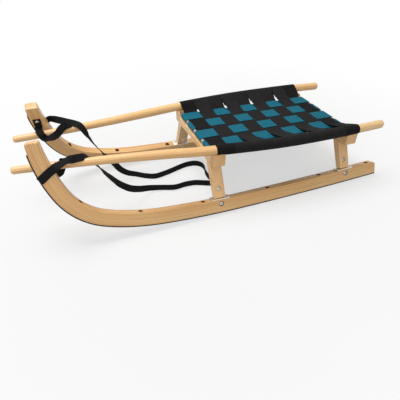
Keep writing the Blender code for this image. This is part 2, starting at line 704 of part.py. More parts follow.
def build_runner(side):
    m = mirror(side)
    mesh = placed(placed(plate([runner_outline()], RUN_W), RUNNER_PLANE), m)
    obj = add(f"runner_{side}", mesh, "wood")
    bevel(obj, 0.0025, 1, 45)
    for i, x in enumerate(RECESS_X):
        s = s_of_top(x)
        h = height(s)
        way = turned([(0, -0.01), (BOLT_R + GAP, -0.01), (BOLT_R + GAP, h - RECESS_DEPTH),
                      (RECESS_R, h - RECESS_DEPTH), (RECESS_R, h + 0.01), (0, h + 0.01)], 10)
        boolean(obj, cutter(f"strip_bolt_way_{side}_{i}", placed(placed(way, sole_frame(s)), m)))
    pilot = rod(HORN_SCREW_R + GAP, -0.01, HORN_SCREW_L + GAP, 8)
    placed(pilot, sole_frame(SOLE_FRONT - HORN_SCREW_BACK))
    boolean(obj, cutter(f"horn_pilot_{side}", placed(pilot, m)))
    for tr in trestles:
        depth = TONGUE_DOWN + 0.0015
        slot = box((-TONGUE_L / 2 - 0.0006, -TONGUE_T / 2 - SLOT_SIDE, -depth),
                   (TONGUE_L / 2 + 0.0006, TONGUE_T / 2 + SLOT_SIDE, 0.02))
        placed(slot, axis_frame(tr.hinge, runner_dir(0, 1, 0)))
        boolean(obj, cutter(f"tongue_slot_{tr.which}_{side}", placed(slot, m)))
        way = placed(bolt_way(RUN_W / 2, RUN_W / 2), run_bolt_frame(tr))
        boolean(obj, cutter(f"run_bolt_way_{tr.which}_{side}", placed(way, m)))
    for i, frame in enumerate(f for tr in trestles for f in plate_screw_frames(tr)):
        hole = placed(rod(PLATE_SCREW_R + GAP, -PLATE_SCREW_L - 0.0005, 0.01, 8), frame)
        boolean(obj, cutter(f"plate_screw_hole_{side}_{i}", placed(hole, m)))
    way = placed(rod(STRAP_SCREW_R + GAP, -STRAP_SCREW_END - 0.0007, 0.03, 8), strap_screw_frame())
    boolean(obj, cutter(f"strap_screw_hole_{side}", placed(way, m)))


def build_strip(side):
    """Steel strip with its flush screws, each with a nut in the recess on the runner's top."""
    m = mirror(side)
    mesh = placed(placed(plate([strip_outline()], STRIP_W), RUNNER_PLANE), m)
    obj = add(f"steel_strip_{side}", mesh, "steel")
    bottom = -STRIP_T - GAP
    inside = bottom + STRIP_T / 2
    for i, x in enumerate(RECESS_X):
        s = s_of_top(x)
        end = height(s) - RECESS_DEPTH + GAP + NUT_H + 0.002
        screw = placed(placed(rod(BOLT_R, inside, end, 10), sole_frame(s)), m)
        boolean(obj, cutter(f"strip_screw_{side}_{i}", screw), "UNION")
        nut = placed(plate([hexagon(NUT_AF)], NUT_H), sole_frame(s, end - 0.002 - NUT_H / 2))
        boolean(obj, cutter(f"strip_nut_{side}_{i}", placed(nut, m)), "UNION")
    tip = [(0, inside), (HORN_SCREW_R, inside), (HORN_SCREW_R, HORN_SCREW_L * 0.7),
           (0.0005, HORN_SCREW_L), (0, HORN_SCREW_L)]
    point = placed(turned(tip, 8), sole_frame(SOLE_FRONT - HORN_SCREW_BACK))
    boolean(obj, cutter(f"horn_screw_{side}", placed(point, m)), "UNION")


def strap_screw_frame():
    return axis_frame(on_runner(STRAP_SCREW_X, STRAP_SCREW_T, 0), runner_dir(0, 0, -1))


def build_strap_screw(side):
    top = RUN_W / 2 + 2 * GAP + STRAP_T
    profile = [(0, -STRAP_SCREW_END), (0.0006, -STRAP_SCREW_END), (STRAP_SCREW_R, 0.007 - STRAP_SCREW_END),
               (STRAP_SCREW_R, top), (STRAP_SCREW_HEAD_R, top), (STRAP_SCREW_HEAD_R, top + 0.0006),
               (0.0036, top + 0.0017), (0, top + 0.0020)]
    mesh = placed(placed(turned(profile, 12), strap_screw_frame()), mirror(side))
    add(f"strap_screw_{side}", mesh, "zinc", True)


def build_rail(side):
    m = mirror(side)
    obj = add(f"side_rail_{side}", placed(rail_mesh(), m), "wood", True)
    for tr in trestles:
        hole = rod(RAIL_SCREW_R + GAP, -0.05, RAIL_SCREW_BITE + 0.0007, 10)
        placed(hole, axis_frame((tr.x + RAIL_SCREW_X, -tr.screw_y, tr.rail_z), UP))
        boolean(obj, cutter(f"rail_screw_hole_{tr.which}_{side}", placed(hole, m)))


def build_rail_screw(tr, side):
    seat, tip = RAIL_SCREW_SEAT - GAP, tr.rail_z + RAIL_SCREW_BITE - tr.bottom
    low = seat - RAIL_SCREW_HEAD_H
    profile = [(0, low), (RAIL_SCREW_HEAD_R, low), (RAIL_SCREW_HEAD_R, seat), (RAIL_SCREW_R, seat),
               (RAIL_SCREW_R, tip - 0.008), (0.0006, tip), (0, tip)]
    screw = placed(turned(profile, 10), axis_frame((tr.x + RAIL_SCREW_X, -tr.screw_y, tr.bottom), UP))
    add(f"{tr.which}_rail_screw_{side}", placed(screw, mirror(side)), "zinc", True)


def build_bars():
    for tr in trestles:
        half = BAR_HALF[tr.which]
        mesh = rod(BAR_R, -half, half, 20)
        placed(mesh, axis_frame((BAR_X[tr.which], 0, tr.bar_z), (0, 1, 0)))
        add(f"{tr.which}_webbing_bar", mesh, "steel", True)


# Woven seat
def seat_centre(x):
    """Mid-plane height of the weave on the centre line: straight between the two bars."""
    a, b = BAR_X["front"], BAR_X["rear"]
    za, zb = (tr.bar_z + BAR_R + GAP + WEB_T / 2 - LIFT for tr in trestles)
    return za + (zb - za) * (x - a) / (b - a)


WRAP_R = RAIL_R + 2.5 * GAP + WEB_T / 2


def knee(x):
    """Where the seat turns up to the rail, how softly, and its slope there; near a bar it stays flat."""
    reach = min(x - BAR_X["front"], BAR_X["rear"] - x)
    u = smooth((reach - 0.010) / KNEE_RUN)
    start, ease = (a + (b - a) * u for a, b in (KNEE_Y, KNEE_EASE))
    across, up = rail_y(x) - start, rail_z(x) - seat_centre(x)
    return start, ease, math.atan2(up, across) + math.asin(WRAP_R / math.hypot(across, up))


def tangent_y(x):
    return rail_y(x) - WRAP_R * math.sin(knee(x)[2])


def seat_z(x, y):
    start, ease, angle = knee(x)
    return seat_centre(x) + math.tan(angle) * ease * math.log(1 + math.exp((abs(y) - start) / ease))


def long_y(j):
    return (j - (LONG_N - 1) / 2) * LONG_PITCH


def over_sign(i, j):
    """+1 where the long band passes over the cross band."""
    return 1 if (i + j) % 2 == (LONG_N - 1) % 2 else -1


def smooth(u):
    u = max(0.0, min(1.0, u))
    return u * u * (3 - 2 * u)


def cross_lift(i, y):
    """Offset of cross band i at y: opposite to the long band it meets."""
    ys = [long_y(j) for j in range(LONG_N)]
    signs = [-over_sign(i, j) for j in range(LONG_N)]
    half = LONG_W / 2
    if y <= ys[0]:
        return LIFT * signs[0] * (1 - smooth((ys[0] - half - y) / 0.015))
    if y >= ys[-1]:
        return LIFT * signs[-1] * (1 - smooth((y - ys[-1] - half) / 0.015))
    for j in range(LONG_N - 1):
        if y <= ys[j + 1]:
            u = smooth((y - ys[j] - half) / (LONG_PITCH - LONG_W))
            return LIFT * (signs[j] + (signs[j + 1] - signs[j]) * u)


def ribbon(path, across, name, mat, thickness=WEB_T):
    """Band along a list of rows of points, thickened to a closed solid."""
    rows, columns = len(path), across + 1
    bm = bmesh.new()
    bmesh.ops.create_grid(bm, x_segments=columns - 1, y_segments=rows - 1, size=1)
    order = sorted(bm.verts, key=lambda v: (round(v.co.y, 5), round(v.co.x, 5)))
    for vert, co in zip(order, [p for row in path for p in row]):
        vert.co = co
    bmesh.ops.triangulate(bm, faces=bm.faces, quad_method="FIXED")
    mesh = bpy.data.meshes.new(name)
    bm.to_mesh(mesh)
    bm.free()
    obj = add(name, mesh, mat, True)
    mod = obj.modifiers.new("thickness", "SOLIDIFY")
    mod.thickness = thickness
    mod.offset = 0
    mod.use_even_offset = True
    mod.use_quality_normals = True
    return obj


def leaving_angle(x):
    """Angle round the rail where the straight run to the seat's underside leaves it."""
    join = tail_points(x)[0]
    away = (join[0] - rail_y(x), join[1] - rail_z(x))
    return math.atan2(away[1], away[0]) % math.tau + math.acos(WRAP_R / math.hypot(*away)) - math.tau


def wrap_path(x, end):
    """(y, z) points from the seat's edge round the rail to the end angle, positive y."""
    cy, cz = rail_y(x), rail_z(x)
    start = math.pi / 2 + knee(x)[2]
    count = 9
    step = (end - start) / count
    r = WRAP_R / math.cos(step / 2)
    turns = [start + step * i for i in range(count + 1)]
    return [(cy + r * math.cos(a), cz + r * math.sin(a)) for a in turns]


def cross_half(x):
    """Places y across one half of the seat, from the first gap outwards to where the rail is met."""
    ys = []
    for j in range(LONG_N // 2, LONG_N):
        a, b = long_y(j) - LONG_W / 2, long_y(j) + LONG_W / 2
        ys += [a, b]
    last, tangent = ys[-1] + 0.012, tangent_y(x)
    return ys + [last + (tangent - 0.004 - last) * k / 2 for k in range(3)]


def cross_band(i):
    name = f"cross_band_{i + 1}"
    k = i - (CROSS_N - 1) / 2
    mid_edge, mid_woven = SEAT_MID + k * CROSS_PITCH, SEAT_MID + k * CROSS_PITCH_WOVEN
    inner = long_y(LONG_N - 1) + LONG_W / 2
    outer = inner + 0.012

    def x_at(y, v):
        u = smooth((abs(y) - inner - 0.006) / 0.022)
        return (mid_woven + (mid_edge - mid_woven) * u) + v * (WEB_W_WOVEN + (WEB_W - WEB_W_WOVEN) * u) / 2

    tops = cross_half(mid_edge)
    flat = [-y for y in tops[::-1]] + tops

    def flat_row(y):
        row = []
        for v in (-1, 1):
            x = x_at(y, v)
            sign = 1 if y >= 0 else -1
            past = abs(y) - outer
            share = (tangent_y(x) - 0.002 - outer) / (tops[-1] - outer)
            yy = y if past <= 0 else sign * (outer + past * share)
            row.append((x, yy, seat_z(x, yy) + cross_lift(i, yy)))
        return row

    at_beam = i in (0, CROSS_N - 1)
    end = END_ANGLE if at_beam else leaving_angle(mid_edge) - math.radians(8)

    def wrap_rows(sign):
        columns = []
        for v in (-1, 1):
            x = mid_edge + v * WEB_W / 2
            line = wrap_path(x, end) + ([] if at_beam else tail_points(x))
            columns.append([(x, sign * y, z) for y, z in line])
        return [list(row) for row in zip(*columns)]

    left, right = wrap_rows(-1), wrap_rows(1)
    rows = left[::-1] + [flat_row(y) for y in flat] + right
    obj = ribbon(rows, 1, name, "black_webbing")
    if at_beam:
        tr = trestles[0] if i == 0 else trestles[1]
        edge = 0.0008
        for side in SIDES:
            notch = box((tr.face - 0.006, -tr.end_y - 0.02, tr.top - 0.03),
                        (tr.face + BEAM_T + edge, -SHOULDER_Y - 0.002, tr.top + edge))
            boolean(obj, cutter(f"{name}_notch_{side}", placed(notch, mirror(side))))


def tail_points(x):
    """Tail of a cross band, from its first point under the seat inwards along the seat's underside."""
    drop = LIFT + 1.5 * WEB_T + 2 * GAP
    join = tangent_y(x) - 0.014
    end = max(TAIL_Y, join - 0.030)
    return [(y, seat_z(x, y) - drop) for y in (join, (join + end) / 2, end)]


def woven_lift(j, x):
    """Offset of long band j at x."""
    sign = [over_sign(i, j) for i in range(CROSS_N)]
    k = (x - SEAT_MID) / CROSS_PITCH_WOVEN + (CROSS_N - 1) / 2
    i = max(0, min(CROSS_N - 1, int(round(k))))
    gap = 1 - WEB_W_WOVEN / CROSS_PITCH_WOVEN
    d = k - i
    other = i + (1 if d > 0 else -1)
    if other < 0 or other >= CROSS_N:
        u = smooth((abs(d) - 0.5 + gap / 2) / (gap * 1.6))
        return LIFT * (sign[i] + (1 - sign[i]) * u)
    u = smooth((abs(d) - 0.5 + gap / 2) / gap)
    return LIFT * (sign[i] + (sign[other] - sign[i]) * u)


def long_band(j):
    xs = []
    half = WEB_W_WOVEN / 2
    for i in range(CROSS_N):
        mid = SEAT_MID + (i - (CROSS_N - 1) / 2) * CROSS_PITCH_WOVEN
        xs += [mid - half, mid + half]
    r = BAR_R + GAP + WEB_T / 2
    count, across = 8, 1
    columns = []
    for c in range(across + 1):
        y = long_y(j) + (c / across - 0.5) * LONG_W
        line = [(x, seat_z(x, y) + woven_lift(j, x)) for x in xs]
        front = loop_points(BAR_X["front"], trestles[0].bar_z, r, -1, count, over_sign(0, j), y)
        rear = loop_points(BAR_X["rear"], trestles[1].bar_z, r, 1, count, over_sign(CROSS_N - 1, j), y)
        columns.append([(x, y, z) for x, z in front[::-1] + line + rear])
    rows = [list(row) for row in zip(*columns)]
    ribbon(rows, across, f"long_band_{j + 1}", "teal_webbing")


def loop_points(bar_x, bar_z, r, way, count, over, y):
    """(x, z) points round a bar and back under the weave; a band coming from below meets the bar sooner."""
    points = []
    start = 90 if over > 0 else 118
    for k in range(count + 1):
        a = math.radians(start - (start + 115) * k / count)
        points.append((bar_x + way * r * math.cos(a), bar_z + r * math.sin(a)))
    drop = LIFT + 1.5 * WEB_T + 2 * GAP
    for d in (0.018, 0.030, TAIL_RUN):
        x = bar_x - way * d
        z = seat_z(x, y) - drop
        u = smooth((d - 0.006) / 0.030)
        points.append((x, (bar_z - r + 0.0006) * (1 - u) + z * u))
    return points


# Pull strap and the two slack loops: centre points with the band's width direction
def cord_ribbon(name, knots, per=2):
    """Flat strap through hand-chosen knots ((x, y, z), (width direction))."""
    pts = [Vector(p) for p, _ in knots]
    dirs = [Vector(d).normalized() for _, d in knots]
    rows = []
    for i in range(len(pts) - 1):
        p0, p1, p2, p3 = pts[max(i - 1, 0)], pts[i], pts[i + 1], pts[min(i + 2, len(pts) - 1)]
        for k in range(per):
            u = k / per
            c = 0.5 * (2 * p1 + (p2 - p0) * u + (2 * p0 - 5 * p1 + 4 * p2 - p3) * u * u
                       + (3 * p1 - 3 * p2 + p3 - p0) * u**3)
            rows.append((c, dirs[i].lerp(dirs[i + 1], smooth(u))))
    rows.append((pts[-1], dirs[-1]))
    path = []
    for k, (c, w) in enumerate(rows):
        tangent = (rows[min(k + 1, len(rows) - 1)][0] - rows[max(k - 1, 0)][0]).normalized()
        w = (w - tangent * w.dot(tangent)).normalized() * STRAP_W / 2
        path.append([c - w, c + w])
    ribbon(path, 1, name, "black_webbing", STRAP_T)


ON_HORN = ((-0.5060, 0.2110, 0), (-0.4940, 0.2190, 0), (-0.4800, 0.2283, 0.0004), (-0.4680, 0.2355, 0.0012))
HORN_TO_RAIL = (
    ((-0.4560, -0.1465, 0.2415), (0.45, -0.6, -0.62)), ((-0.4380, -0.1330, 0.2410), (0.5, -0.75, -0.42)),
    ((-0.4150, -0.1185, 0.2370), (0.5, -0.85, -0.2)), ((-0.3930, -0.1080, 0.2322), (0.7, -0.7, 0.0)),
)


def horn_knots(sign):
    """From the cut end on the horn's outer face, round its rear edge, to the top of the side rail."""
    face = RUN_W / 2 + GAP + STRAP_T / 2
    wide = runner_dir(0.55, -0.83, 0)
    out = []
    for x, t, off in ON_HORN:
        out.append((on_runner(x, t, face + off), wide))
    out += [(Vector(p), Vector(w)) for p, w in HORN_TO_RAIL]
    return [(Vector((p[0], sign * -p[1], p[2])), Vector((w[0], sign * -w[1], w[2]))) for p, w in out]


NEAR_KNOTS = (
    ((-0.3790, -0.0985, 0.2275), (0.85, -0.45, 0.25)), ((-0.3690, -0.0905, 0.2130), (0.95, -0.2, 0.3)),
    ((-0.3590, -0.0880, 0.1870), (0.9, 0.1, 0.3)), ((-0.3400, -0.0860, 0.1540), (0.8, 0.3, 0.4)),
    ((-0.3210, -0.0820, 0.1250), (0.6, 0.45, 0.5)), ((-0.3030, -0.0760, 0.0980), (0.4, 0.5, 0.6)),
    ((-0.2730, -0.0580, 0.0620), (0.2, 0.4, 0.8)), ((-0.2400, -0.0370, 0.0360), (0, 0.2, 1)),
    ((-0.2020, -0.0200, 0.0185), (0, 0.1, 1)), ((-0.1610, -0.0240, 0.0125), (0, 0, 1)),
    ((-0.1200, -0.0380, 0.0125), (0, 0, 1)), ((-0.0810, -0.0350, 0.0125), (0, 0, 1)),
    ((-0.0460, -0.0380, 0.0125), (0, 0, 1)), ((-0.0100, -0.0540, 0.0125), (0, 0, 1)),
    ((0.0160, -0.0640, 0.0125), (0, 0, 1)), ((0.0330, -0.0560, 0.0125), (0, 0, 1)),
    ((0.0300, -0.0400, 0.0125), (0, 0, 1)), ((0.0140, -0.0270, 0.0125), (0, 0, 1)),
)
FAR_KNOTS = (
    ((0.0120, 0.0080, 0.0125), (0, 0, 1)), ((0.0190, 0.0400, 0.0125), (0, 0, 1)),
    ((0.0150, 0.0640, 0.0125), (0, 0, 1)), ((-0.0020, 0.0800, 0.0125), (0, 0, 1)),
    ((-0.0300, 0.0840, 0.0125), (0, 0, 1)), ((-0.0600, 0.0780, 0.0125), (0, 0, 1)),
    ((-0.0900, 0.0680, 0.0125), (0, 0, 1)), ((-0.1260, 0.0570, 0.0125), (0, 0, 1)),
    ((-0.1640, 0.0510, 0.0125), (0, 0, 1)), ((-0.1950, 0.0650, 0.0125), (0, 0, 1)),
    ((-0.2250, 0.0840, 0.0150), (0, 0, 1)), ((-0.2550, 0.0880, 0.0260), (0, -0.1, 1)),
    ((-0.2790, 0.0870, 0.0480), (0.3, -0.3, 0.8)), ((-0.2950, 0.0870, 0.0760), (0.5, -0.4, 0.6)),
    ((-0.3130, 0.0880, 0.1030), (0.6, -0.5, 0.4)), ((-0.3290, 0.0880, 0.1290), (0.6, -0.6, 0.3)),
    ((-0.3450, 0.0880, 0.1560), (0.5, -0.75, 0.2)), ((-0.3570, 0.0880, 0.1830), (0.5, -0.8, 0.2)),
    ((-0.3670, 0.0900, 0.2080), (0.75, -0.5, 0.2)), ((-0.3790, 0.0985, 0.2275), (0.85, 0.45, 0.25)),
)
# Slack loops after the stretch on the horn's inner face: right, then left drawn on its own side
LOOP_RIGHT = (
    ((-0.4970, 0.1070, 0.2345), (1, 0, 0)), ((-0.4970, 0.0970, 0.2332), (1, 0, 0)),
    ((-0.4955, 0.0858, 0.2310), (1, 0, 0)), ((-0.4920, 0.0800, 0.2235), (1, 0, 0)),
    ((-0.4865, 0.0790, 0.2140), (1, 0, 0.5)), ((-0.4740, 0.0790, 0.2110), (0.3, 0, 1)),
    ((-0.4600, 0.0795, 0.2150), (-0.4, 0, 0.9)), ((-0.4480, 0.0815, 0.2235), (-0.7, 0, 0.7)),
    ((-0.4380, 0.0855, 0.2335), (-0.8, -0.3, 0.40)), ((-0.4230, 0.0985, 0.2355), (-0.45, -0.8, 0)),
    ((-0.4050, 0.1085, 0.2305), (0.3, -0.95, 0)),
)
LOOP_LEFT = (
    ((-0.4965, -0.1070, 0.2345), (1, 0, 0)), ((-0.4945, -0.0980, 0.2332), (1, 0, 0)),
    ((-0.4905, -0.0885, 0.2290), (1, 0, 0)), ((-0.4840, -0.0830, 0.2130), (1, 0, 0)),
    ((-0.4780, -0.0830, 0.1940), (1, 0, 0.3)), ((-0.4690, -0.0840, 0.1810), (0.6, 0, 0.9)),
    ((-0.4570, -0.0850, 0.1860), (-0.6, 0, 0.8)), ((-0.4495, -0.0850, 0.2030), (-1, 0, 0.3)),
    ((-0.4410, -0.0870, 0.2222), (-0.87, -0.09, 0.43)), ((-0.4300, -0.0960, 0.2330), (-0.7, -0.7, 0)),
    ((-0.4150, -0.1055, 0.2310), (-0.66, -0.75, 0)),
)


def horn_loop(side, knots):
    """From above the screw down the horn's inner face, then through the knots."""
    face = -(RUN_W / 2 + GAP + STRAP_T / 2)
    leave = ((0.009, 0), (0.001, 0), (-0.007, 0), (-0.0125, 0.0014), (-0.0160, 0.0052))
    start = [(on_runner(STRAP_SCREW_X, STRAP_SCREW_T + up, face - off), ALONG) for up, off in leave]
    start = [(mirror(side) @ point, wide) for point, wide in start]
    cord_ribbon(f"horn_loop_{side}", start + list(knots))
    way = placed(placed(rod(STRAP_SCREW_R + GAP, -0.03, 0.03, 8), strap_screw_frame()), mirror(side))
    boolean(parts.objects[f"horn_loop_{side}"], cutter(f"loop_hole_{side}", way))


# Build everything
trestles = [Trestle("front"), Trestle("rear")]
for trestle in trestles:
    build_beam(trestle)
for hand in SIDES:
    build_runner(hand)
    build_strip(hand)
    build_foot_plates(hand)
    build_strap_screw(hand)
    build_rail(hand)
    for trestle in trestles:
        build_leg(trestle, hand)
        build_tongue(trestle, hand)
        build_joint_bolts(trestle, hand)
        build_rail_screw(trestle, hand)
build_bars()
for index in range(CROSS_N):
    cross_band(index)
for index in range(LONG_N):
    long_band(index)
cord_ribbon("pull_strap", horn_knots(-1) + list(NEAR_KNOTS) + list(FAR_KNOTS) + horn_knots(1)[::-1])
horn_loop("left", LOOP_LEFT)
horn_loop("right", LOOP_RIGHT)

# Each runner turns about the line through its two joints
for hand in SIDES:
    pivot = bpy.data.objects.new(f"pivot_runner_{hand}", None)
    axis = (trestles[0].hinge + trestles[1].hinge) / 2
    pivot.location = mirror(hand) @ axis
    parts.objects.link(pivot)
    moving = ["runner", "steel_strip", "strap_screw"]
    joint = ("foot_plate", "runner_bolt", "runner_nut")
    moving += [f"{end}_{piece}" for end in TRESTLES for piece in joint]
    for piece in moving:
        obj = parts.objects[f"{piece}_{hand}"]
        obj.parent = pivot
        obj.matrix_parent_inverse = Matrix.Translation(-pivot.location)
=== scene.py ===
"""Looks of a two-seater wooden sled: varnished bentwood, steel fittings and woven webbing.

Metres, +Z up. The horns point to -X and the rider's left is -Y. Left pieces are drawn once and mirrored.
"""
from math import acos, asin, atan, atan2, cos, exp, hypot, log, pi, radians, sin, sqrt, tan, tau

import bmesh
import bpy
import numpy as np
from mathutils import Matrix, Vector


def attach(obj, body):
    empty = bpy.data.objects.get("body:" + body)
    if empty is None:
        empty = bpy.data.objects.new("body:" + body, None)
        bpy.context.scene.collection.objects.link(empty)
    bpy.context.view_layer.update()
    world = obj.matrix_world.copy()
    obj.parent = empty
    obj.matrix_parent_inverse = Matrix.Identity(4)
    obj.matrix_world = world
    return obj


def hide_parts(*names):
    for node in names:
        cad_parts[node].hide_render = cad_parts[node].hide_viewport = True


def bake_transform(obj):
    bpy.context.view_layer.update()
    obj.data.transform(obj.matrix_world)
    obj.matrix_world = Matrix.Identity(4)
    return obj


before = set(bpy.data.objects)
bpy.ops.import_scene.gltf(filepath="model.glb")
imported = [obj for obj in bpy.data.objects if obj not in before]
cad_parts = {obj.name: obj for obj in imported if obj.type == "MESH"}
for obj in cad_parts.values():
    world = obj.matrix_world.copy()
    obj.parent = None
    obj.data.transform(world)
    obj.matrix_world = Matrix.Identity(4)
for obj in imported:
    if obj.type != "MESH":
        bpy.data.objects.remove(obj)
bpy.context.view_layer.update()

SIDES = ("left", "right")
UP, ALONG, ASIDE = (0, 0, 1), (1, 0, 0), (0, 1, 0)
FLIP = Matrix.Scale(-1, 4, ASIDE)

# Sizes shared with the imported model
LEAN = radians(16.4)
RUN_W, RUN_H, RUN_Y = 0.029, 0.041, 0.2043
CONTACT_X, REAR_X = 0.1915, 0.5740
GAP = 0.0003
FRONT_ARCS = (
    (18.0, 0.145), (3.206, 0.2402), (0.90, 0.0848), (0.57, 0.100), (0.194, 0.157), (0.403, 0.161),
)
REAR_R = 13.0
REAR_LEN = REAR_R * asin((REAR_X - CONTACT_X) / REAR_R)
HORN_TAPER, TAPER_RUN = 0.0065, 0.110
TIP_CORNER, BACK_CORNER, REAR_CORNER = 0.006, 0.004, 0.012
STRIP_W, STRIP_T, STRIP_STOP = 0.027, 0.003, 0.028
GROUND = (GAP + STRIP_T) * cos(LEAN) - (RUN_W - STRIP_W) / 2 * sin(LEAN)
RECESS_X = (-0.4225, -0.2678, -0.0751, 0.1488, 0.3460, 0.5435)
RECESS_R, RECESS_DEPTH, NUT_AF, NUT_H, BOLT_R = 0.0068, 0.010, 0.008, 0.004, 0.0025
HORN_SCREW_BACK = 0.045

TRESTLES = {"front": -0.0380, "rear": 0.4276}
BEAM_T, LEG_T = 0.040, 0.036
BEAM_END = {"front": 0.1770, "rear": 0.1930}
SADDLE_DEPTH, SHOULDER_Y = 0.004, 0.1485
BAR_DROP, BAR_R = 0.0205, 0.006
BAR_X = {"front": -0.0270, "rear": 0.4605}
FOOT_OUT, FOOT_OUT_Z, FOOT_IN, FOOT_IN_Z = 0.1998, 0.0526, 0.1776, 0.0506
LEG_SLOPE_OUT, LEG_SLOPE_IN = 0.485, 0.535
PLATE_L, PLATE_W, PLATE_T = 0.062, 0.0275, 0.003
TONGUE_L, TONGUE_T, TONGUE_N, TONGUE_DOWN, HINGE_UP = 0.024, 0.003, -0.0022, 0.031, 0.0018
SLOT_SIDE = 0.0022
RUN_BOLT_T, LEG_BOLT_UP = 0.0282, 0.030
JOINT_BOLT_R, JOINT_HEAD_R, JOINT_HEAD_H = 0.003, 0.0068, 0.0032
HEAD_ROOM, NUT_POCKET_R, NUT_POCKET = 0.0016, 0.0062, 0.004

RAIL_KNOTS = (
    (-0.6155, 0.0864, 0.2183), (-0.5305, 0.0934, 0.2161), (-0.4105, 0.1060, 0.2133),
    (-0.2905, 0.1220, 0.2107), (-0.1705, 0.1413, 0.2079), (-0.0505, 0.1627, 0.2049),
    (0.1995, 0.1891, 0.1988), (0.4475, 0.1900, 0.1935), (0.5545, 0.1846, 0.1907),
    (0.6200, 0.1800, 0.1892),
)
RAIL_FRONT, RAIL_BACK, RAIL_R, RAIL_TIP_R, RAIL_TAPER_X = -0.5740, 0.5676, 0.0140, 0.0102, -0.120

WEB_T, WEB_W, WEB_W_WOVEN = 0.0016, 0.0538, 0.0506
CROSS_N, CROSS_PITCH, CROSS_PITCH_WOVEN, SEAT_MID, SPREAD = 9, 0.0540, 0.0532, 0.2170, 0.0034
LONG_N, LONG_PITCH, LONG_W = 4, 0.0700, 0.0525
LIFT = WEB_T / 2 + GAP
KNEE_BAR, KNEE_REAR = (0.137, 0.003), (0.112, 0.009)
KNEE_OVER, KNEE_UNDER, KNEE_RUN = (0.108, 0.010), (0.1335, 0.0035), 0.080
TAIL_Y, TAIL_RUN, END_ANGLE = 0.1365, 0.054, radians(-125)
WRAP_R = RAIL_R + 2.5 * GAP + WEB_T / 2
UNDER = LIFT + 1.5 * WEB_T + 2 * GAP

STRAP_W, STRAP_T = 0.022, 0.0018
STRAP_SCREW_R, STRAP_SCREW_HEAD_R, STRAP_SCREW_END = 0.0020, 0.0052, 0.0075
STRAP_SCREW_X, STRAP_SCREW_T = -0.4970, 0.2610

# Camera, taken from the photograph's straight edges
CAMERA_AT = Vector((-0.3848, -0.9988, 0.7365))
CAMERA_YAW, CAMERA_PITCH, CAMERA_ROLL = (radians(a) for a in (-20.388, 38.192, -0.455))
SENSOR_W, LENS = 36.0, 32.256


def linked(name, data):
    """A new object in the scene."""
    obj = bpy.data.objects.new(name, data)
    bpy.context.scene.collection.objects.link(obj)
    return obj


def add_camera():
    data = bpy.data.cameras.new("camera")
    data.sensor_fit, data.sensor_width, data.lens = "HORIZONTAL", SENSOR_W, LENS
    camera = linked("camera", data)
    yaw, pitch = Matrix.Rotation(CAMERA_YAW, 4, "Z"), Matrix.Rotation(pi / 2 - CAMERA_PITCH, 4, "X")
    camera.matrix_world = Matrix.Translation(CAMERA_AT) @ yaw @ pitch @ Matrix.Rotation(CAMERA_ROLL, 4, "Z")
    bpy.context.scene.camera = camera


add_camera()


# Node trees
class Graph:
    """A node tree while it is being built."""

    prefix = ""

    def node(self, kind, settings=None, inputs=None, output=0):
        """Adds one node: its settings first, then the values or links of its sockets."""
        made = self.tree.nodes.new(self.prefix + kind)
        for key, value in (settings or {}).items():
            setattr(made, key, value)
        for key, value in (inputs or {}).items():
            value = value.socket if isinstance(value, Wire) else value
            if isinstance(value, bpy.types.NodeSocket):
                self.tree.links.new(value, made.inputs[key])
            else:
                made.inputs[key].default_value = value
        return made.outputs[output]


def operator(operation, swapped=False):
    """A Wire's method that adds a Math node, with its values the other way round if swapped."""
    def method(wire, *others):
        values = (*others, wire) if swapped else (wire, *others)
        return wire.finish.node("Math", {"operation": operation}, dict(enumerate(values)))

    return method


class Wire:
    """A shader socket that takes part in sums like a number."""

    def __init__(self, finish, socket):
        self.finish, self.socket = finish, socket

    __add__ = __radd__ = operator("ADD")
    __mul__ = __rmul__ = operator("MULTIPLY")
    __sub__, __rsub__ = operator("SUBTRACT"), operator("SUBTRACT", True)
    __truediv__, __pow__, __mod__ = operator("DIVIDE"), operator("POWER"), operator("FLOORED_MODULO")
    __abs__, floor, sine = operator("ABSOLUTE"), operator("FLOOR"), operator("SINE")

    def clamped(self):
        return self.finish.node("Clamp", {}, {"Value": self})


class Finish(Graph):
    """A procedural material while it is being mixed."""

    prefix = "ShaderNode"

    def __init__(self, name):
        self.material = bpy.data.materials.new(name)
        self.material.use_nodes = True
        self.tree = self.material.node_tree
        self.tree.nodes.clear()

    def node(self, *description):
        return Wire(self, super().node(*description))

    def place(self):
        """Object coordinates."""
        return self.node("TexCoord", {}, {}, 3)

    def mark(self, name):
        """Number that each face carries."""
        return self.node("Attribute", {"attribute_name": name}, {}, 2)

    def split(self, vector):
        """A vector's three numbers."""
        parts = self.node("SeparateXYZ", {}, {0: vector}).socket.node.outputs
        return [Wire(self, part) for part in parts]

    def noise(self, vector, factors, detail=2.0, roughness=0.5):
        place = self.node("VectorMath", {"operation": "MULTIPLY"}, {0: vector, 1: factors})
        return self.node("TexNoise", {}, {"Vector": place, "Scale": 1.0, "Detail": detail, "Roughness": roughness})

    def blend(self, share, first, second):
        settings = {"data_type": "RGBA", "blend_type": "MIX"}
        return self.node("Mix", settings, {0: share, 6: first, 7: second}, 2)

    def between(self, value, low, high, out_low=0.0, out_high=1.0):
        inputs = {"Value": value, "From Min": low, "From Max": high, "To Min": out_low, "To Max": out_high}
        return self.node("MapRange", {"interpolation_type": "SMOOTHSTEP"}, inputs)

    def bump(self, height, strength, distance):
        return self.node("Bump", {}, {"Height": height, "Strength": strength, "Distance": distance})

    def surface(self, **values):
        """Ends the material in one Principled shader."""
        inputs = {key.replace("_", " ").title().replace("Ior", "IOR"): value for key, value in values.items()}
        return self.ended(self.node("BsdfPrincipled", {}, inputs))

    def ended(self, shader):
        end = self.tree.nodes.new("ShaderNodeOutputMaterial")
        self.tree.links.new(shader.socket, end.inputs["Surface"])
        return self.material


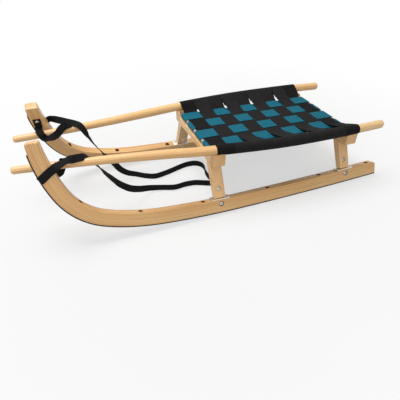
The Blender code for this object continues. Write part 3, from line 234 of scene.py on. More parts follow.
def stored(name):
    """Coordinates that a piece carries as an attribute."""
    return lambda finish: finish.node("Attribute", {"attribute_name": name}, {}, 1)


def along(direction, side=ASIDE):
    """Object coordinates turned so that X runs along the direction."""
    x = Vector(direction).normalized()
    z = x.cross(Vector(side)).normalized()
    turn = Matrix((x, z.cross(x), z)).to_euler()
    return lambda finish: finish.node("Mapping", {}, {"Vector": finish.place(), "Rotation": turn})


# Finishes
def colour(red, green, blue):
    """Scene colour of an sRGB colour given as 0 to 255."""
    parts = (c / 255 for c in (red, green, blue))
    return tuple(c / 12.92 if c <= 0.04045 else ((c + 0.055) / 1.055) ** 2.4 for c in parts) + (1.0,)


ASH = ((242, 199, 137), (230, 181, 117), (172, 116, 62))
TURNED_ASH = ((245, 207, 150), (235, 189, 127), (180, 126, 72))
LEG_ASH = ((248, 207, 150), (237, 190, 130), (182, 128, 76))


RING_PITCH, COAT = 0.0046, 0.30
# HOLLOW_SHADE_TINT is painted shade: a near-black brown for the walls and floors of drilled and slotted hollows.
PORE_TINT, HOLLOW_SHADE_TINT = colour(128, 84, 46), colour(46, 30, 20)


def wood(name, source, tones=ASH, layer=0.0):
    """Varnished ash: growth rings, long fibres, short pores, glue lines where it is bent in layers."""
    f = Finish(name)
    grain = source(f)
    _, depth, other = f.split(grain)
    wander = f.noise(grain, (2.3, 16, 16), 3.0, 0.55)
    rings = ((depth + other * 0.35 + wander * 0.014) * (tau / RING_PITCH)).sine()
    tone = f.noise(grain, (1.7, 22, 22))
    fibre = f.noise(grain, (7, 520, 520), 3.0, 0.6)
    streaks = f.noise(grain, (4, 190, 190), 2.0, 0.6)
    pores = f.between(f.noise(grain, (110, 2300, 2300), 1.0), 0.60, 0.74)
    pale, body, dark = (colour(*rgb) for rgb in tones)
    base = f.blend(f.between(tone, 0.35, 0.70), pale, body)
    base = f.blend((rings * 0.5 + 0.5) ** 3.0 * 0.30, base, dark)
    base = f.blend(f.between(streaks, 0.50, 0.72, 0.0, 0.40), base, dark)
    base = f.blend(f.between(fibre, 0.46, 0.76, 0.0, 0.34), base, dark)
    if layer:
        seam = abs((depth + wander * 0.0008) / layer % 1.0 - 0.5)
        base = f.blend(f.between(seam, 0.37, 0.48, 0.0, 0.75), base, dark)
    base = f.blend(pores * 0.20, base, PORE_TINT)
    # Painted shade: the walls and floors of hollows are darkened to a near-black brown, and they go without varnish.
    hollow = f.mark("hollow")
    base = f.blend(hollow, base, HOLLOW_SHADE_TINT)
    height = fibre * 0.5 - pores
    return f.surface(base_color=base, roughness=fibre * 0.16 + 0.36, normal=f.bump(height, 0.16, 0.0002),
                     coat_weight=(1 - hollow) * COAT, coat_roughness=0.22)


RIB_PITCH, PICK_PITCH = 0.0013, 0.0011


def webbing(name, thread, valley_shade, painted_glint):
    """Polyester webbing: warp ribs along the band, weft picks across, closed selvedges; painted shade in the weave's
    valleys and random patches of painted glint.
    """
    f = Finish(name)
    lay = stored("weave")(f)
    run, across, _ = f.split(lay)
    rib = across / RIB_PITCH
    warp = abs((rib * pi).sine())
    weft = abs(((run / PICK_PITCH + rib.floor() * 0.5) * pi).sine())
    height = warp * 0.6 + weft * warp * 0.4
    slub = f.noise(lay, (90, 700, 1))
    glint_patches = f.noise(lay, (28, 45, 1), 3.0, 0.6)
    # Painted shade: the valleys between ribs and picks take a darker colour than the threads.
    base = f.blend((height * 0.8 + slub * 0.4).clamped(), (*valley_shade, 1), (*thread, 1))
    # Painted glint: random patches are lightened towards a paler glint colour.
    base = f.blend(f.between(glint_patches, 0.45, 0.80, 0.0, 0.25), base, (*painted_glint, 1))
    return f.surface(base_color=base, roughness=0.86 - height * 0.16, normal=f.bump(height, 0.55, 0.0003),
                     specular_ior_level=0.16)


WORN_STEEL = (0.62, 0.62, 0.62, 1)


def steel(name, pale, dark, rough, streak=(300, 300, 300)):
    """Steel with drawn lines along the sled, dulled in patches; marked faces are polished where they are worn."""
    f = Finish(name)
    place = f.place()
    lines = f.noise(place, streak, 3.0, 0.6)
    patches = f.noise(place, (26, 26, 26), 3.0, 0.6)
    base = f.blend(f.between(patches, 0.35, 0.70), (*pale, 1), (*dark, 1))
    worn = f.mark("worn") * f.between(patches, 0.28, 0.62, 0.75, 1.0)
    base = f.blend(worn, base, WORN_STEEL)
    gloss = lines * 0.16 + patches * 0.14 + (rough - 0.15) - worn * 0.06
    return f.surface(base_color=base, metallic=1.0, roughness=gloss, normal=f.bump(lines, 0.10, 0.0001))


bent_wood = wood("bent_ash", stored("grain"), layer=0.0041)
rail_wood = wood("turned_ash", stored("grain"), TURNED_ASH)
beam_wood = wood("beam_ash", along(ASIDE, ALONG))
LEG_TURN = atan((LEG_SLOPE_OUT + LEG_SLOPE_IN) / 2)
LEG_DIR = Vector((0, sin(LEG_TURN), cos(LEG_TURN)))
leg_wood = {
    side: wood(f"leg_ash_{side}", along((0, lean * LEG_DIR.y, LEG_DIR.z), ALONG), LEG_ASH)
    for side, lean in zip(SIDES, (1, -1))
}
# Colours of each webbing: the threads, the painted shade in the valleys, the painted glint.
black_web = webbing("black_webbing", (0.013, 0.012, 0.012), (0.004, 0.004, 0.004), (0.032, 0.020, 0.016))
strap_web = webbing("strap_webbing", (0.008, 0.008, 0.009), (0.003, 0.003, 0.003), (0.014, 0.013, 0.013))
teal_web = webbing("teal_webbing", (0.006, 0.142, 0.208), (0.003, 0.066, 0.100), (0.013, 0.187, 0.266))
DRAWN = (14, 900, 900)
spring_steel = steel("spring_steel", (0.56, 0.56, 0.57), (0.40, 0.39, 0.39), 0.40, DRAWN)
# Dark steel for the sole strips: darker than bare steel, so that it also paints the contact shadow along the
# runner's sole.
shadow_dark_strip_steel = steel("shadow_dark_strip_steel", (0.085, 0.080, 0.076), (0.040, 0.036, 0.033), 0.46, DRAWN)
zinc = steel("zinc_plate", (0.66, 0.63, 0.57), (0.50, 0.47, 0.42), 0.42)
# Bright zinc for the foot plates, tinted warm cream to paint the reflection of the wood around them.
reflection_tinted_zinc = steel("reflection_tinted_zinc", (0.88, 0.83, 0.73), (0.76, 0.71, 0.62), 0.38)
# Darkened zinc for the nuts in the runner's recesses: the dark colour paints the shade down in the recesses.
shade_dark_zinc = steel("shade_dark_zinc", (0.30, 0.28, 0.25), (0.17, 0.15, 0.13), 0.45)


# Mesh tools
def drawn(bm):
    mesh = bpy.data.meshes.new("mesh")
    bm.to_mesh(mesh)
    bm.free()
    return mesh


def finished(bm):
    bmesh.ops.remove_doubles(bm, verts=bm.verts, dist=0.000002)
    bmesh.ops.recalc_face_normals(bm, faces=bm.faces)
    return drawn(bm)


def smoothed(mesh, angle=40):
    mesh.shade_smooth()
    mesh.set_sharp_from_angle(angle=radians(angle))
    return mesh


def skin(rings):
    """Closed mesh through rings of as many points each, with both end rings filled."""
    bm = bmesh.new()
    rows = [[bm.verts.new(p) for p in ring] for ring in rings]
    for first, second in zip(rows, rows[1:]):
        for k in range(len(first)):
            bm.faces.new((first[k], first[k - 1], second[k - 1], second[k]))
    bm.faces.new(rows[0])
    bm.faces.new(rows[-1][::-1])
    return finished(bm)


def lathe(profile, steps=32):
    """Solid turned about local Z from (radius, height) points."""
    bm = bmesh.new()
    verts = [bm.verts.new((r, 0, z)) for r, z in profile]
    edges = [bm.edges.new(pair) for pair in zip(verts, verts[1:])]
    bmesh.ops.spin(bm, geom=verts + edges, cent=(0, 0, 0), axis=UP, angle=tau, steps=steps)
    return finished(bm)


def box(low, high):
    bm = bmesh.new()
    bmesh.ops.create_cube(bm, size=1)
    low, high = Vector(low), Vector(high)
    bmesh.ops.scale(bm, verts=bm.verts, vec=high - low)
    bmesh.ops.translate(bm, verts=bm.verts, vec=(high + low) / 2)
    return finished(bm)


def prism(outline, low, high):
    """Flat outline in local XY, drawn out from one height to the other."""
    return skin([[(x, y, low) for x, y in outline], [(x, y, high) for x, y in outline]])


def arc(cx, cy, r, start, end, n=6):
    angles = [radians(start + (end - start) * i / n) for i in range(n + 1)]
    return [(cx + r * cos(a), cy + r * sin(a)) for a in angles]


def spread(first, last, count):
    """Values between two ends, without the first."""
    return [first + (last - first) * k / count for k in range(1, count + 1)]


def spread_pairs(first, last, count):
    """Points between two ends, without the first."""
    return list(zip(*(spread(a, b, count) for a, b in zip(first, last))))


def placed(mesh, matrix):
    mesh.transform(matrix)
    if matrix.determinant() < 0:
        mesh.flip_normals()
    return mesh


def joined(meshes):
    bm = bmesh.new()
    for mesh in meshes:
        bm.from_mesh(mesh)
    return drawn(bm)


def evaluated(obj, *helpers):
    """Plain mesh of the object with its modifiers applied; it and its helpers are removed."""
    graph = bpy.context.evaluated_depsgraph_get()
    graph.update()
    mesh = bpy.data.meshes.new_from_object(obj.evaluated_get(graph))
    for one in (obj, *helpers):
        bpy.data.objects.remove(one, do_unlink=True)
    return mesh


def cut(mesh, tool, operation="DIFFERENCE"):
    """The mesh with the tool's shape taken out, kept or joined on."""
    blank, cutter = linked("blank", mesh), linked("cutter", tool)
    mod = blank.modifiers.new("cut", "BOOLEAN")
    mod.operation, mod.solver, mod.object = operation, "EXACT", cutter
    return evaluated(blank, cutter)


def eased(mesh, width, segments):
    """The mesh with its sharp edges rounded over."""
    blank = linked("blank", mesh)
    mod = blank.modifiers.new("edges", "BEVEL")
    mod.width, mod.segments, mod.limit_method, mod.angle_limit = width, segments, "ANGLE", radians(40)
    return evaluated(blank)


def store(mesh, name, values, kind="FLOAT_VECTOR", domain="POINT"):
    """Gives the mesh an attribute, with a value for each point or face."""
    layer = mesh.attributes.new(name, kind, domain)
    key = "vector" if kind == "FLOAT_VECTOR" else "value"
    layer.data.foreach_set(key, np.asarray(values, np.float32).ravel())


def mark_faces(mesh, name, chosen):
    """Face attribute with the value that the test gives for each face's centre."""
    store(mesh, name, [chosen(face.center) for face in mesh.polygons], "FLOAT", "FACE")


def points_of(mesh):
    flat = np.empty(len(mesh.vertices) * 3, np.float32)
    mesh.vertices.foreach_get("co", flat)
    return flat.reshape(-1, 3).astype(float)


def piece(name, mesh, finish, body=None, stands_for=()):
    """A finished piece of the sled, in place in its mesh."""
    mesh.name = name
    mesh.materials.clear()
    mesh.materials.append(finish)
    obj = linked(name, mesh)
    if stands_for:
        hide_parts(*stands_for)
    if body:
        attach(obj, body)
    return obj


# Geometry Nodes trees
class Tree(Graph):
    """A Geometry Nodes tree with named inputs, ended by Realize Instances and Set Material."""

    def __init__(self, name, **inputs):
        self.tree = bpy.data.node_groups.new(name, "GeometryNodeTree")
        for key, kind in {"Base": "Geometry", **inputs, "Finish": "Material"}.items():
            self.tree.interface.new_socket(key, in_out="INPUT", socket_type="NodeSocket" + kind)
        self.tree.interface.new_socket("Made", in_out="OUTPUT", socket_type="NodeSocketGeometry")
        self.given = self.tree.nodes.new("NodeGroupInput").outputs

    def attribute(self, name, kind):
        return self.node("GeometryNodeInputNamedAttribute", {"data_type": kind}, {"Name": name})

    def end(self, geometry):
        real = self.node("GeometryNodeRealizeInstances", {}, {"Geometry": geometry})
        inputs = {"Geometry": real, "Material": self.given["Finish"]}
        coated = self.node("GeometryNodeSetMaterial", {}, inputs)
        self.tree.links.new(coated, self.tree.nodes.new("NodeGroupOutput").inputs[0])
        return self

    def grow(self, base, finish, helpers=(), **values):
        """Plain mesh that the tree makes from the base mesh."""
        obj = linked("grown", base)
        mod = obj.modifiers.new("grow", "NODES")
        mod.node_group = self.tree
        values["Finish"] = finish
        for item in self.tree.interface.items_tree:
            if item.in_out == "INPUT" and item.name in values:
                mod[item.identifier] = values[item.name]
        return evaluated(obj, *helpers)


def fastener_tree():
    """A unit piece at every point, turned as the point's 'turn' says and spun by chance in its hole."""
    t = Tree("fasteners_on_points", Unit="Object", Spin="Float", Seed="Int")
    unit = t.node("GeometryNodeObjectInfo", {}, {"Object": t.given["Unit"]}, 4)
    turn = t.node("FunctionNodeEulerToRotation", {}, {0: t.attribute("turn", "FLOAT_VECTOR")})
    inputs = {"Max": t.given["Spin"], "Seed": t.given["Seed"]}
    chance = t.node("FunctionNodeRandomValue", {"data_type": "FLOAT"}, inputs, 1)
    spin = t.node("FunctionNodeAxisAngleToRotation", {}, {"Axis": UP, "Angle": chance})
    both = t.node("FunctionNodeRotateRotation", {"rotation_space": "LOCAL"}, {0: turn, 1: spin})
    inputs = {"Points": t.given["Base"], "Instance": unit, "Rotation": both}
    return t.end(t.node("GeometryNodeInstanceOnPoints", {}, inputs))


def round_bar_tree():
    """Round bar along a line of points, as thick at each as its 'radius' says."""
    t = Tree("round_bar_on_line", Sides="Int")
    line = t.node("GeometryNodeMeshToCurve", {}, {"Mesh": t.given["Base"]})
    radius = t.attribute("radius", "FLOAT")
    line = t.node("GeometryNodeSetCurveRadius", {}, {"Curve": line, "Radius": radius})
    ring = t.node("GeometryNodeCurvePrimitiveCircle", {}, {"Resolution": t.given["Sides"], "Radius": 1.0})
    inputs = {"Curve": line, "Profile Curve": ring, "Scale": radius, "Fill Caps": True}
    return t.end(t.node("GeometryNodeCurveToMesh", {}, inputs))


fasteners = fastener_tree()
round_bar = round_bar_tree()


def set_out(unit, frames, finish, spin=0.0, seed=1):
    """One mesh with the unit piece at every frame."""
    spots = bpy.data.meshes.new("spots")
    spots.from_pydata([tuple(f.translation) for f in frames], [], [])
    store(spots, "turn", [tuple(f.to_euler()) for f in frames])
    helper = linked("unit", unit)
    return smoothed(fasteners.grow(spots, finish, (helper,), Unit=helper, Spin=spin, Seed=seed))


# Places on the left runner: x along the sled, t up the wood, n outwards
RUNNER_PLANE = Matrix((
    (1, 0, 0, 0),
    (0, sin(LEAN), -cos(LEAN), -RUN_Y),
    (0, cos(LEAN), sin(LEAN), RUN_W / 2 * sin(LEAN) + GROUND),
    (0, 0, 0, 1),
))
SOLE_FRONT = sum(length for _, length in FRONT_ARCS)


def on_runner(x, t, n):
    return RUNNER_PLANE @ Vector((x, t, n))


def runner_dir(x, t, n):
    return RUNNER_PLANE.to_3x3() @ Vector((x, t, n))


def mirror(side):
    return Matrix.Identity(4) if side == "left" else FLIP


def axis_frame(origin, direction, up=ALONG):
    """Local Z along direction, local X as near as possible to up."""
    z = Vector(direction).normalized()
    x = (Vector(up) - z * z.dot(Vector(up))).normalized()
    m = Matrix((x, z.cross(x), z)).transposed().to_4x4()
    m.translation = Vector(origin)
    return m


def on_side(matrix, side):
    """A frame's place on either side, kept a plain turn, for units that are the same both ways round."""
    return matrix if side == "left" else FLIP @ matrix @ FLIP


def sole(s):
    """Point and slope of the sole, s metres forwards of the contact point."""
    if s < 0:
        a = -s / REAR_R
        return CONTACT_X + REAR_R * sin(a), REAR_R * (1 - cos(a)), -a
    x, t, a = CONTACT_X, 0.0, 0.0
    for radius, length in FRONT_ARCS:
        step = min(s, length)
        b = a + step / radius
        x -= radius * (sin(b) - sin(a))
        t += radius * (cos(a) - cos(b))
        a, s = b, s - step
        if s <= 0:
            break
    return x, t, a


def off_sole(s, h):
    x, t, a = sole(s)
    return x + h * sin(a), t + h * cos(a)


def height(s):
    """Depth of the wood above the sole, thinner towards the horn's tip."""
    left = min(max(SOLE_FRONT - s, 0), TAPER_RUN)
    return RUN_H - HORN_TAPER * (1 - left / TAPER_RUN) ** 1.6


def station(x, place=sole):
    """Station whose point, as the rule gives it, lies at this x."""
    low, high = -REAR_LEN, SOLE_FRONT
    for _ in range(50):
        mid = (low + high) / 2
        low, high = (mid, high) if place(mid)[0] > x else (low, mid)
    return low


def s_of_top(x):
    return station(x, lambda s: off_sole(s, height(s)))


def sole_frame(s, h=0.0):
    """Local Z from the sole into the wood, at height h."""
    x, t = off_sole(s, h)
    a = sole(s)[2]
    into, along_sole = runner_dir(sin(a), cos(a), 0), runner_dir(cos(a), -sin(a), 0)
    return axis_frame(on_runner(x, t, 0), into, along_sole)


# Line of the side rails
def spline_value(knots, x, k):
    """Smooth value of coordinate k at x through the knots."""
    xs = [p[0] for p in knots]
    i = max(0, min(len(knots) - 2, sum(1 for v in xs if v <= x) - 1))

    def slope(j):
        a, b = max(j - 1, 0), min(j + 1, len(knots) - 1)
        return (knots[b][k] - knots[a][k]) / (xs[b] - xs[a])

    h = xs[i + 1] - xs[i]
    u = (x - xs[i]) / h
    p, q = knots[i][k], knots[i + 1][k]
    m, n = slope(i) * h, slope(i + 1) * h
    return ((2 * u**3 - 3 * u**2 + 1) * p + (u**3 - 2 * u**2 + u) * m
            + (-2 * u**3 + 3 * u**2) * q + (u**3 - u**2) * n)


def rail_y(x):
    return spline_value(RAIL_KNOTS, x, 1)


def rail_z(x):
    return spline_value(RAIL_KNOTS, x, 2) + GROUND


def rail_r(x):
    """Rail radius: full under the seat, slimmer to the front, rounded ends."""
    u = max(0.0, min(1.0, (RAIL_TAPER_X - x) / (RAIL_TAPER_X - RAIL_FRONT)))
    r = RAIL_R - (RAIL_R - RAIL_TIP_R) * u
    for end, depth in ((RAIL_FRONT, 0.007), (RAIL_BACK, 0.010)):
        d = abs(x - end)
        if d < depth:
            r *= 0.45 + 0.55 * sqrt(max(0.0, 1 - (1 - d / depth) ** 2))
    return r


# Trestles
OUT_NORMAL = Vector((0, -cos(atan(LEG_SLOPE_OUT)), sin(atan(LEG_SLOPE_OUT))))
IN_NORMAL = Vector((0, cos(atan(LEG_SLOPE_IN)), -sin(atan(LEG_SLOPE_IN))))


class Trestle:
    """Places that the pieces of one trestle share, on the left side."""

    def __init__(self, which):
        self.which, self.face = which, TRESTLES[which]
        self.x = self.face + LEG_T / 2
        self.s = s_of_top(self.x)
        self.hinge = on_runner(self.x, off_sole(self.s, RUN_H)[1] + HINGE_UP, TONGUE_N)
        self.tongue = axis_frame(self.hinge, runner_dir(0, 1, 0))
        self.end_y = BEAM_END[which]
        self.top = rail_z(self.x) - RAIL_R + SADDLE_DEPTH
        self.bar_z = rail_z(BAR_X[which]) - BAR_DROP

    def leg_bolt(self):
        """Outwards along the leg bolt, and how far the leg's two faces are from the tongue."""
        c = self.hinge + LEG_DIR * LEG_BOLT_UP
        out = Vector((self.x, LEG_SLOPE_OUT * (c.z - FOOT_OUT_Z) - FOOT_OUT, c.z))
        back = Vector((self.x, LEG_SLOPE_IN * (c.z - FOOT_IN_Z) - FOOT_IN, c.z))
        reach = (back - c).dot(IN_NORMAL) / -OUT_NORMAL.dot(IN_NORMAL)
        return axis_frame(c, OUT_NORMAL), (out - c).dot(OUT_NORMAL), reach

    def runner_bolt(self):
        x, t = off_sole(self.s, RUN_BOLT_T)
        return axis_frame(on_runner(x, t, 0), runner_dir(0, 0, 1)), RUN_W / 2, RUN_W / 2

    def plate(self):
        """Foot plate's frame: X along the runner, Y across it, Z out of its top face."""
        return sole_frame(self.s, RUN_H + GAP + PLATE_T / 2)


trestles = [Trestle("front"), Trestle("rear")]


# Webbing
def smooth(u):
    u = max(0.0, min(1.0, u))
    return u * u * (3 - 2 * u)


ACROSS = (-1, -0.995, -0.985, -0.968, -0.6, -0.2, 0.2, 0.6, 0.968, 0.985, 0.995, 1)
EDGE = 0.032


def band(name, rows, thickness, finish, slot, body=None, stands_for=(), start=0.0):
    """Woven band through rows of points, with rounded selvedges and closed ends."""
    grid = np.array([[tuple(p) for p in row] for row in rows])
    step = np.linalg.norm(np.diff(grid, axis=0), axis=2).max(axis=1)
    grid = grid[np.concatenate([[True], step > 0.00002])]
    normal = np.cross(np.gradient(grid, axis=0), np.gradient(grid, np.array(ACROSS), axis=1))
    normal /= np.linalg.norm(normal, axis=2, keepdims=True)
    swell = [sqrt(max(0.0, 1 - max(0.0, (abs(v) - 1 + EDGE) / EDGE) ** 2)) for v in ACROSS]
    off = normal * (np.array(swell) * thickness / 2)[None, :, None]
    rings = np.concatenate([grid + off, (grid - off)[:, -2:0:-1]], axis=1)
    middle = grid.mean(axis=1)
    run = start + np.concatenate([[0], np.cumsum(np.linalg.norm(np.diff(middle, axis=0), axis=1))])
    half = np.linalg.norm(grid[:, -1] - grid[:, 0], axis=1).mean() / 2
    order = list(ACROSS) + list(ACROSS)[-2:0:-1]
    mesh = skin(rings.tolist())
    store(mesh, "weave", [(r, v * half, 0) for r in run for v in order])
    return piece(name, smoothed(mesh, 60), finish, body, stands_for)


KNOT_STEPS = 6


def strap_rows(knots):
    """Centre points and half-width vectors of a strap, smooth through the given knots."""
    pts, dirs = [Vector(k[:3]) for k in knots], [Vector(k[3:]).normalized() for k in knots]
    line = []
    for i in range(len(pts) - 1):
        p0, p1, p2, p3 = pts[max(i - 1, 0)], pts[i], pts[i + 1], pts[min(i + 2, len(pts) - 1)]
        for k in range(KNOT_STEPS):
            u = k / KNOT_STEPS
            c = 0.5 * (2 * p1 + (p2 - p0) * u + (2 * p0 - 5 * p1 + 4 * p2 - p3) * u * u
                       + (3 * p1 - 3 * p2 + p3 - p0) * u**3)
            line.append((c, dirs[i].lerp(dirs[i + 1], smooth(u))))
    line.append((pts[-1], dirs[-1]))
    out = []
    for k, (c, w) in enumerate(line):
        tangent = (line[min(k + 1, len(line) - 1)][0] - line[max(k - 1, 0)][0]).normalized()
        out.append((c, (w - tangent * w.dot(tangent)).normalized() * STRAP_W / 2))
    return out


def strap_grid(line):
    return [[c + w * v for v in ACROSS] for c, w in line]


def run_length(line):
    return sum((b[0] - a[0]).length for a, b in zip(line, line[1:]))


# Pull strap: from the near horn over the near rail, along the floor on its edge and back to the far horn.
# A knot gives its place, then the way across the strap. Each loop hangs from its horn's screw and ends on the strap.
ON_HORN = ((-0.506, 0.211, 0), (-0.494, 0.219, 0), (-0.48, 0.2283, 0.0004), (-0.468, 0.2355, 0.0012))
HORN_TO_RAIL = {
    "left": (
        (-0.456, -0.1465, 0.2415, 0.58, -0.62, -0.42), (-0.438, -0.133, 0.241, 0.6, -0.75, -0.15),
        (-0.415, -0.1185, 0.237, 0.2, -0.5, -0.75), (-0.393, -0.108, 0.2322, 0.3, -0.62, -0.6),
    ),
    "right": (
        (-0.456, 0.1465, 0.2415, -0.2, 0.1, 0.8), (-0.438, 0.133, 0.241, 0.15, 0.3, 0.75),
        (-0.415, 0.1185, 0.237, 0.4, 0.4, 0.65), (-0.393, 0.108, 0.2322, 0.65, 0.45, 0.45),
    ),
}
NEAR_KNOTS = (
    (-0.379, -0.0985, 0.2275, 0.6, -0.65, -0.35), (-0.369, -0.0905, 0.213, 0.8, -0.5, 0.1),
    (-0.359, -0.088, 0.187, 0.5, -0.85, 0.1), (-0.34, -0.086, 0.154, -0.03, -0.97, -0.2),
    (-0.321, -0.082, 0.125, -0.23, -0.91, -0.32), (-0.303, -0.076, 0.098, -0.4, -0.81, -0.45),
    (-0.273, -0.058, 0.062, -0.25, -0.5, -0.8), (-0.24, -0.037, 0.036, 0, -0.2, -1),
    (-0.202, -0.02, 0.0185, 0, -0.1, -1),
)
ON_FLOOR = (
    (-0.161, -0.024), (-0.12, -0.038), (-0.081, -0.035), (-0.046, -0.038), (-0.01, -0.054),
    (0.016, -0.064), (0.033, -0.056), (0.03, -0.04), (0.014, -0.027), (0.012, 0.008),
    (0.019, 0.04), (0.015, 0.064), (-0.002, 0.08), (-0.03, 0.084), (-0.06, 0.078),
    (-0.09, 0.068), (-0.126, 0.057), (-0.164, 0.051), (-0.195, 0.065),
)
EDGE_Z = 0.0125
FAR_KNOTS = (
    (-0.225, 0.084, 0.015, 0, 0, -1), (-0.255, 0.088, 0.026, -0.1, 0, -1),
    (-0.279, 0.087, 0.048, -0.45, 0, -0.85), (-0.295, 0.087, 0.076, -0.65, 0.1, -0.6),
    (-0.313, 0.088, 0.103, -0.5, 0.6, -0.4), (-0.329, 0.088, 0.129, -0.25, 0.9, -0.15),
    (-0.345, 0.088, 0.156, -0.05, 0.95, -0.1), (-0.357, 0.088, 0.183, 0.15, 0.93, 0),
    (-0.367, 0.09, 0.208, 0.6, 0.72, 0.15), (-0.379, 0.0985, 0.2275, 0.85, 0.45, 0.25),
)
RUN_KNOTS = NEAR_KNOTS + tuple((x, y, EDGE_Z, 0, 0, -1) for x, y in ON_FLOOR) + FAR_KNOTS
LOOP_RIGHT = (
    (-0.497, 0.107, 0.2345, 1, 0, 0), (-0.497, 0.097, 0.2332, 1, 0, 0),
    (-0.4955, 0.0858, 0.231, 1, 0, 0), (-0.492, 0.08, 0.2235, 1, 0, 0),
    (-0.4865, 0.079, 0.214, 0.7, 0.5, 0.35), (-0.474, 0.079, 0.211, 0.15, 0.75, 0.3),
    (-0.459, 0.0795, 0.214, -0.25, 0.5, 0.65), (-0.445, 0.0815, 0.2215, -0.6, 0.1, 0.65),
    (-0.434, 0.086, 0.2315, -0.7, 0.1, 0.65), (-0.42, 0.097, 0.2345, -0.45, 0.1, 0.8),
    (-0.405, 0.1083, 0.2308, -0.5, 0.55, 0.5),
)
LOOP_LEFT = (
    (-0.4965, -0.107, 0.2345, 1, 0, 0), (-0.4945, -0.098, 0.2332, 1, 0, 0),
    (-0.4905, -0.0885, 0.229, 1, 0, 0), (-0.484, -0.083, 0.213, 1, 0, 0),
    (-0.478, -0.083, 0.194, 0.75, 0.4, 0.35), (-0.469, -0.084, 0.181, 0.2, 0.7, 0.65),
    (-0.457, -0.085, 0.186, -0.35, 0.6, 0.7), (-0.4495, -0.085, 0.203, -0.8, 0.25, 0.45),
    (-0.441, -0.087, 0.2222, -0.87, -0.09, 0.43), (-0.43, -0.096, 0.233, -0.7, -0.7, 0),
    (-0.416, -0.106, 0.2322, -0.66, -0.75, 0), (-0.406, -0.1122, 0.2337, -0.6, -0.75, -0.3),
)
HORN_KNOTS = len(ON_HORN) + len(HORN_TO_RAIL["left"])


def horn_knots(side):
    """From the cut end on the horn's outer face, round its rear edge, to the top of the side rail."""
    face = RUN_W / 2 + GAP + STRAP_T / 2
    flip = mirror(side).to_3x3()
    wide = flip @ runner_dir(0.55, -0.83, 0) * (1 if side == "left" else -1)
    return [(*(flip @ on_runner(x, t, face + off)), *wide) for x, t, off in ON_HORN] + list(HORN_TO_RAIL[side])


LOOP_START = ((0.009, 0), (0.001, 0), (-0.007, 0), (-0.0125, 0.0014), (-0.0160, 0.0052))


def loop_knots(side, knots):
    """From above the screw down the horn's inner face, then through the loop's own knots."""
    face = -(RUN_W / 2 + GAP + STRAP_T / 2)
    flip = mirror(side).to_3x3()
    start = (on_runner(STRAP_SCREW_X, STRAP_SCREW_T + up, face - off) for up, off in LOOP_START)
    return [(*(flip @ p), *ALONG) for p in start] + list(knots)


def build_straps():
    line = strap_rows(horn_knots("left") + list(RUN_KNOTS) + horn_knots("right")[::-1])
    first, last = HORN_KNOTS * KNOT_STEPS, len(line) - 1 - HORN_KNOTS * KNOT_STEPS
    free, ends = line[first:last + 1], (line[:first + 1], line[last:])
    look = (STRAP_T, strap_web, "black_webbing")
    strap = band("pull_strap_run", strap_grid(free), *look, "seat_frame", ("pull_strap",), run_length(ends[0]))
    for side, part, start in zip(SIDES, ends, (0.0, run_length(line[:last + 1]))):
        lashing = band(f"strap_end_{side}", strap_grid(part), *look, None, ("pull_strap",), start)
        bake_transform(lashing)
    for side, own in zip(SIDES, (LOOP_LEFT, LOOP_RIGHT)):
        line = strap_rows(loop_knots(side, own))
        loop = band(f"slack_loop_{side}", strap_grid(line), *look, None, (f"horn_loop_{side}",))
        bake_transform(loop)


build_straps()


# Bent runners and their steel strips
EDGE_R = 0.0026


def rounded_section(low, high, half, r, across=4, up=6):
    """Ring of (height, width) points round a rectangle with eased corners."""
    ring = []
    centres = ((half - r, low + r), (half - r, high - r), (r - half, high - r), (r - half, low + r))
    turns = [[(h, w) for w, h in arc(*centre, r, start, start + 90, 3)]
             for centre, start in zip(centres, (-90, 0, 90, 180))]
    for k, turn in enumerate(turns):
        n = across if k % 2 else up
        ring += turn + spread_pairs(turn[-1], turns[(k + 1) % 4][0], n)[:-1]
    return ring


def inset(d, r):
    """How far a corner of radius r has drawn in at distance d from the end."""
    return r - sqrt(r * r - (r - d) ** 2) if d < r else 0.0


NEAR_END = (0, 0.0002, 0.0008, 0.0018, 0.0032, 0.005, 0.008, 0.012)
LONG_STEP, SHORT_STEP, BEND_START = 0.012, 0.006, 0.40


def runner_stations():
    line = [-REAR_LEN + d for d in NEAR_END]
    while line[-1] < SOLE_FRONT - 1.5 * LONG_STEP:
        line.append(line[-1] + (LONG_STEP if line[-1] < BEND_START else SHORT_STEP))
    return line + [SOLE_FRONT - d for d in NEAR_END[::-1]]


def runner_rings():
    rings = []
    for s in runner_stations():
        tip, rear = SOLE_FRONT - s, s + REAR_LEN
        low = max(inset(tip, TIP_CORNER), inset(rear, EDGE_R))
        high = height(s) - max(inset(tip, BACK_CORNER), inset(rear, REAR_CORNER))
        half = RUN_W / 2 - max(inset(tip, EDGE_R), inset(rear, EDGE_R))
        r = min(EDGE_R, 0.0022 + min(tip, rear))
        rings.append([on_runner(*off_sole(s, h), w) for h, w in rounded_section(low, high, half, r)])
    return rings


def bolt_way(face, back):
    """Cutter for a joint bolt: pocket for its nut, shank hole and recess for its head."""
    shank, head = JOINT_BOLT_R + GAP, JOINT_HEAD_R + HEAD_ROOM
    nut_seat, head_seat = NUT_POCKET - back, face - JOINT_HEAD_H
    return lathe([(0, -0.05), (NUT_POCKET_R, -0.05), (NUT_POCKET_R, nut_seat), (shank, nut_seat),
                  (shank, head_seat), (head, head_seat), (head, 0.05), (0, 0.05)])


def tongue_slot(room, side_room, low, high):
    """Cutter for the tongue's slot, with room beside its edges and its faces."""
    half_l, half_t = TONGUE_L / 2 + room, TONGUE_T / 2 + side_room
    return box((-half_l, -half_t, low), (half_l, half_t, high))


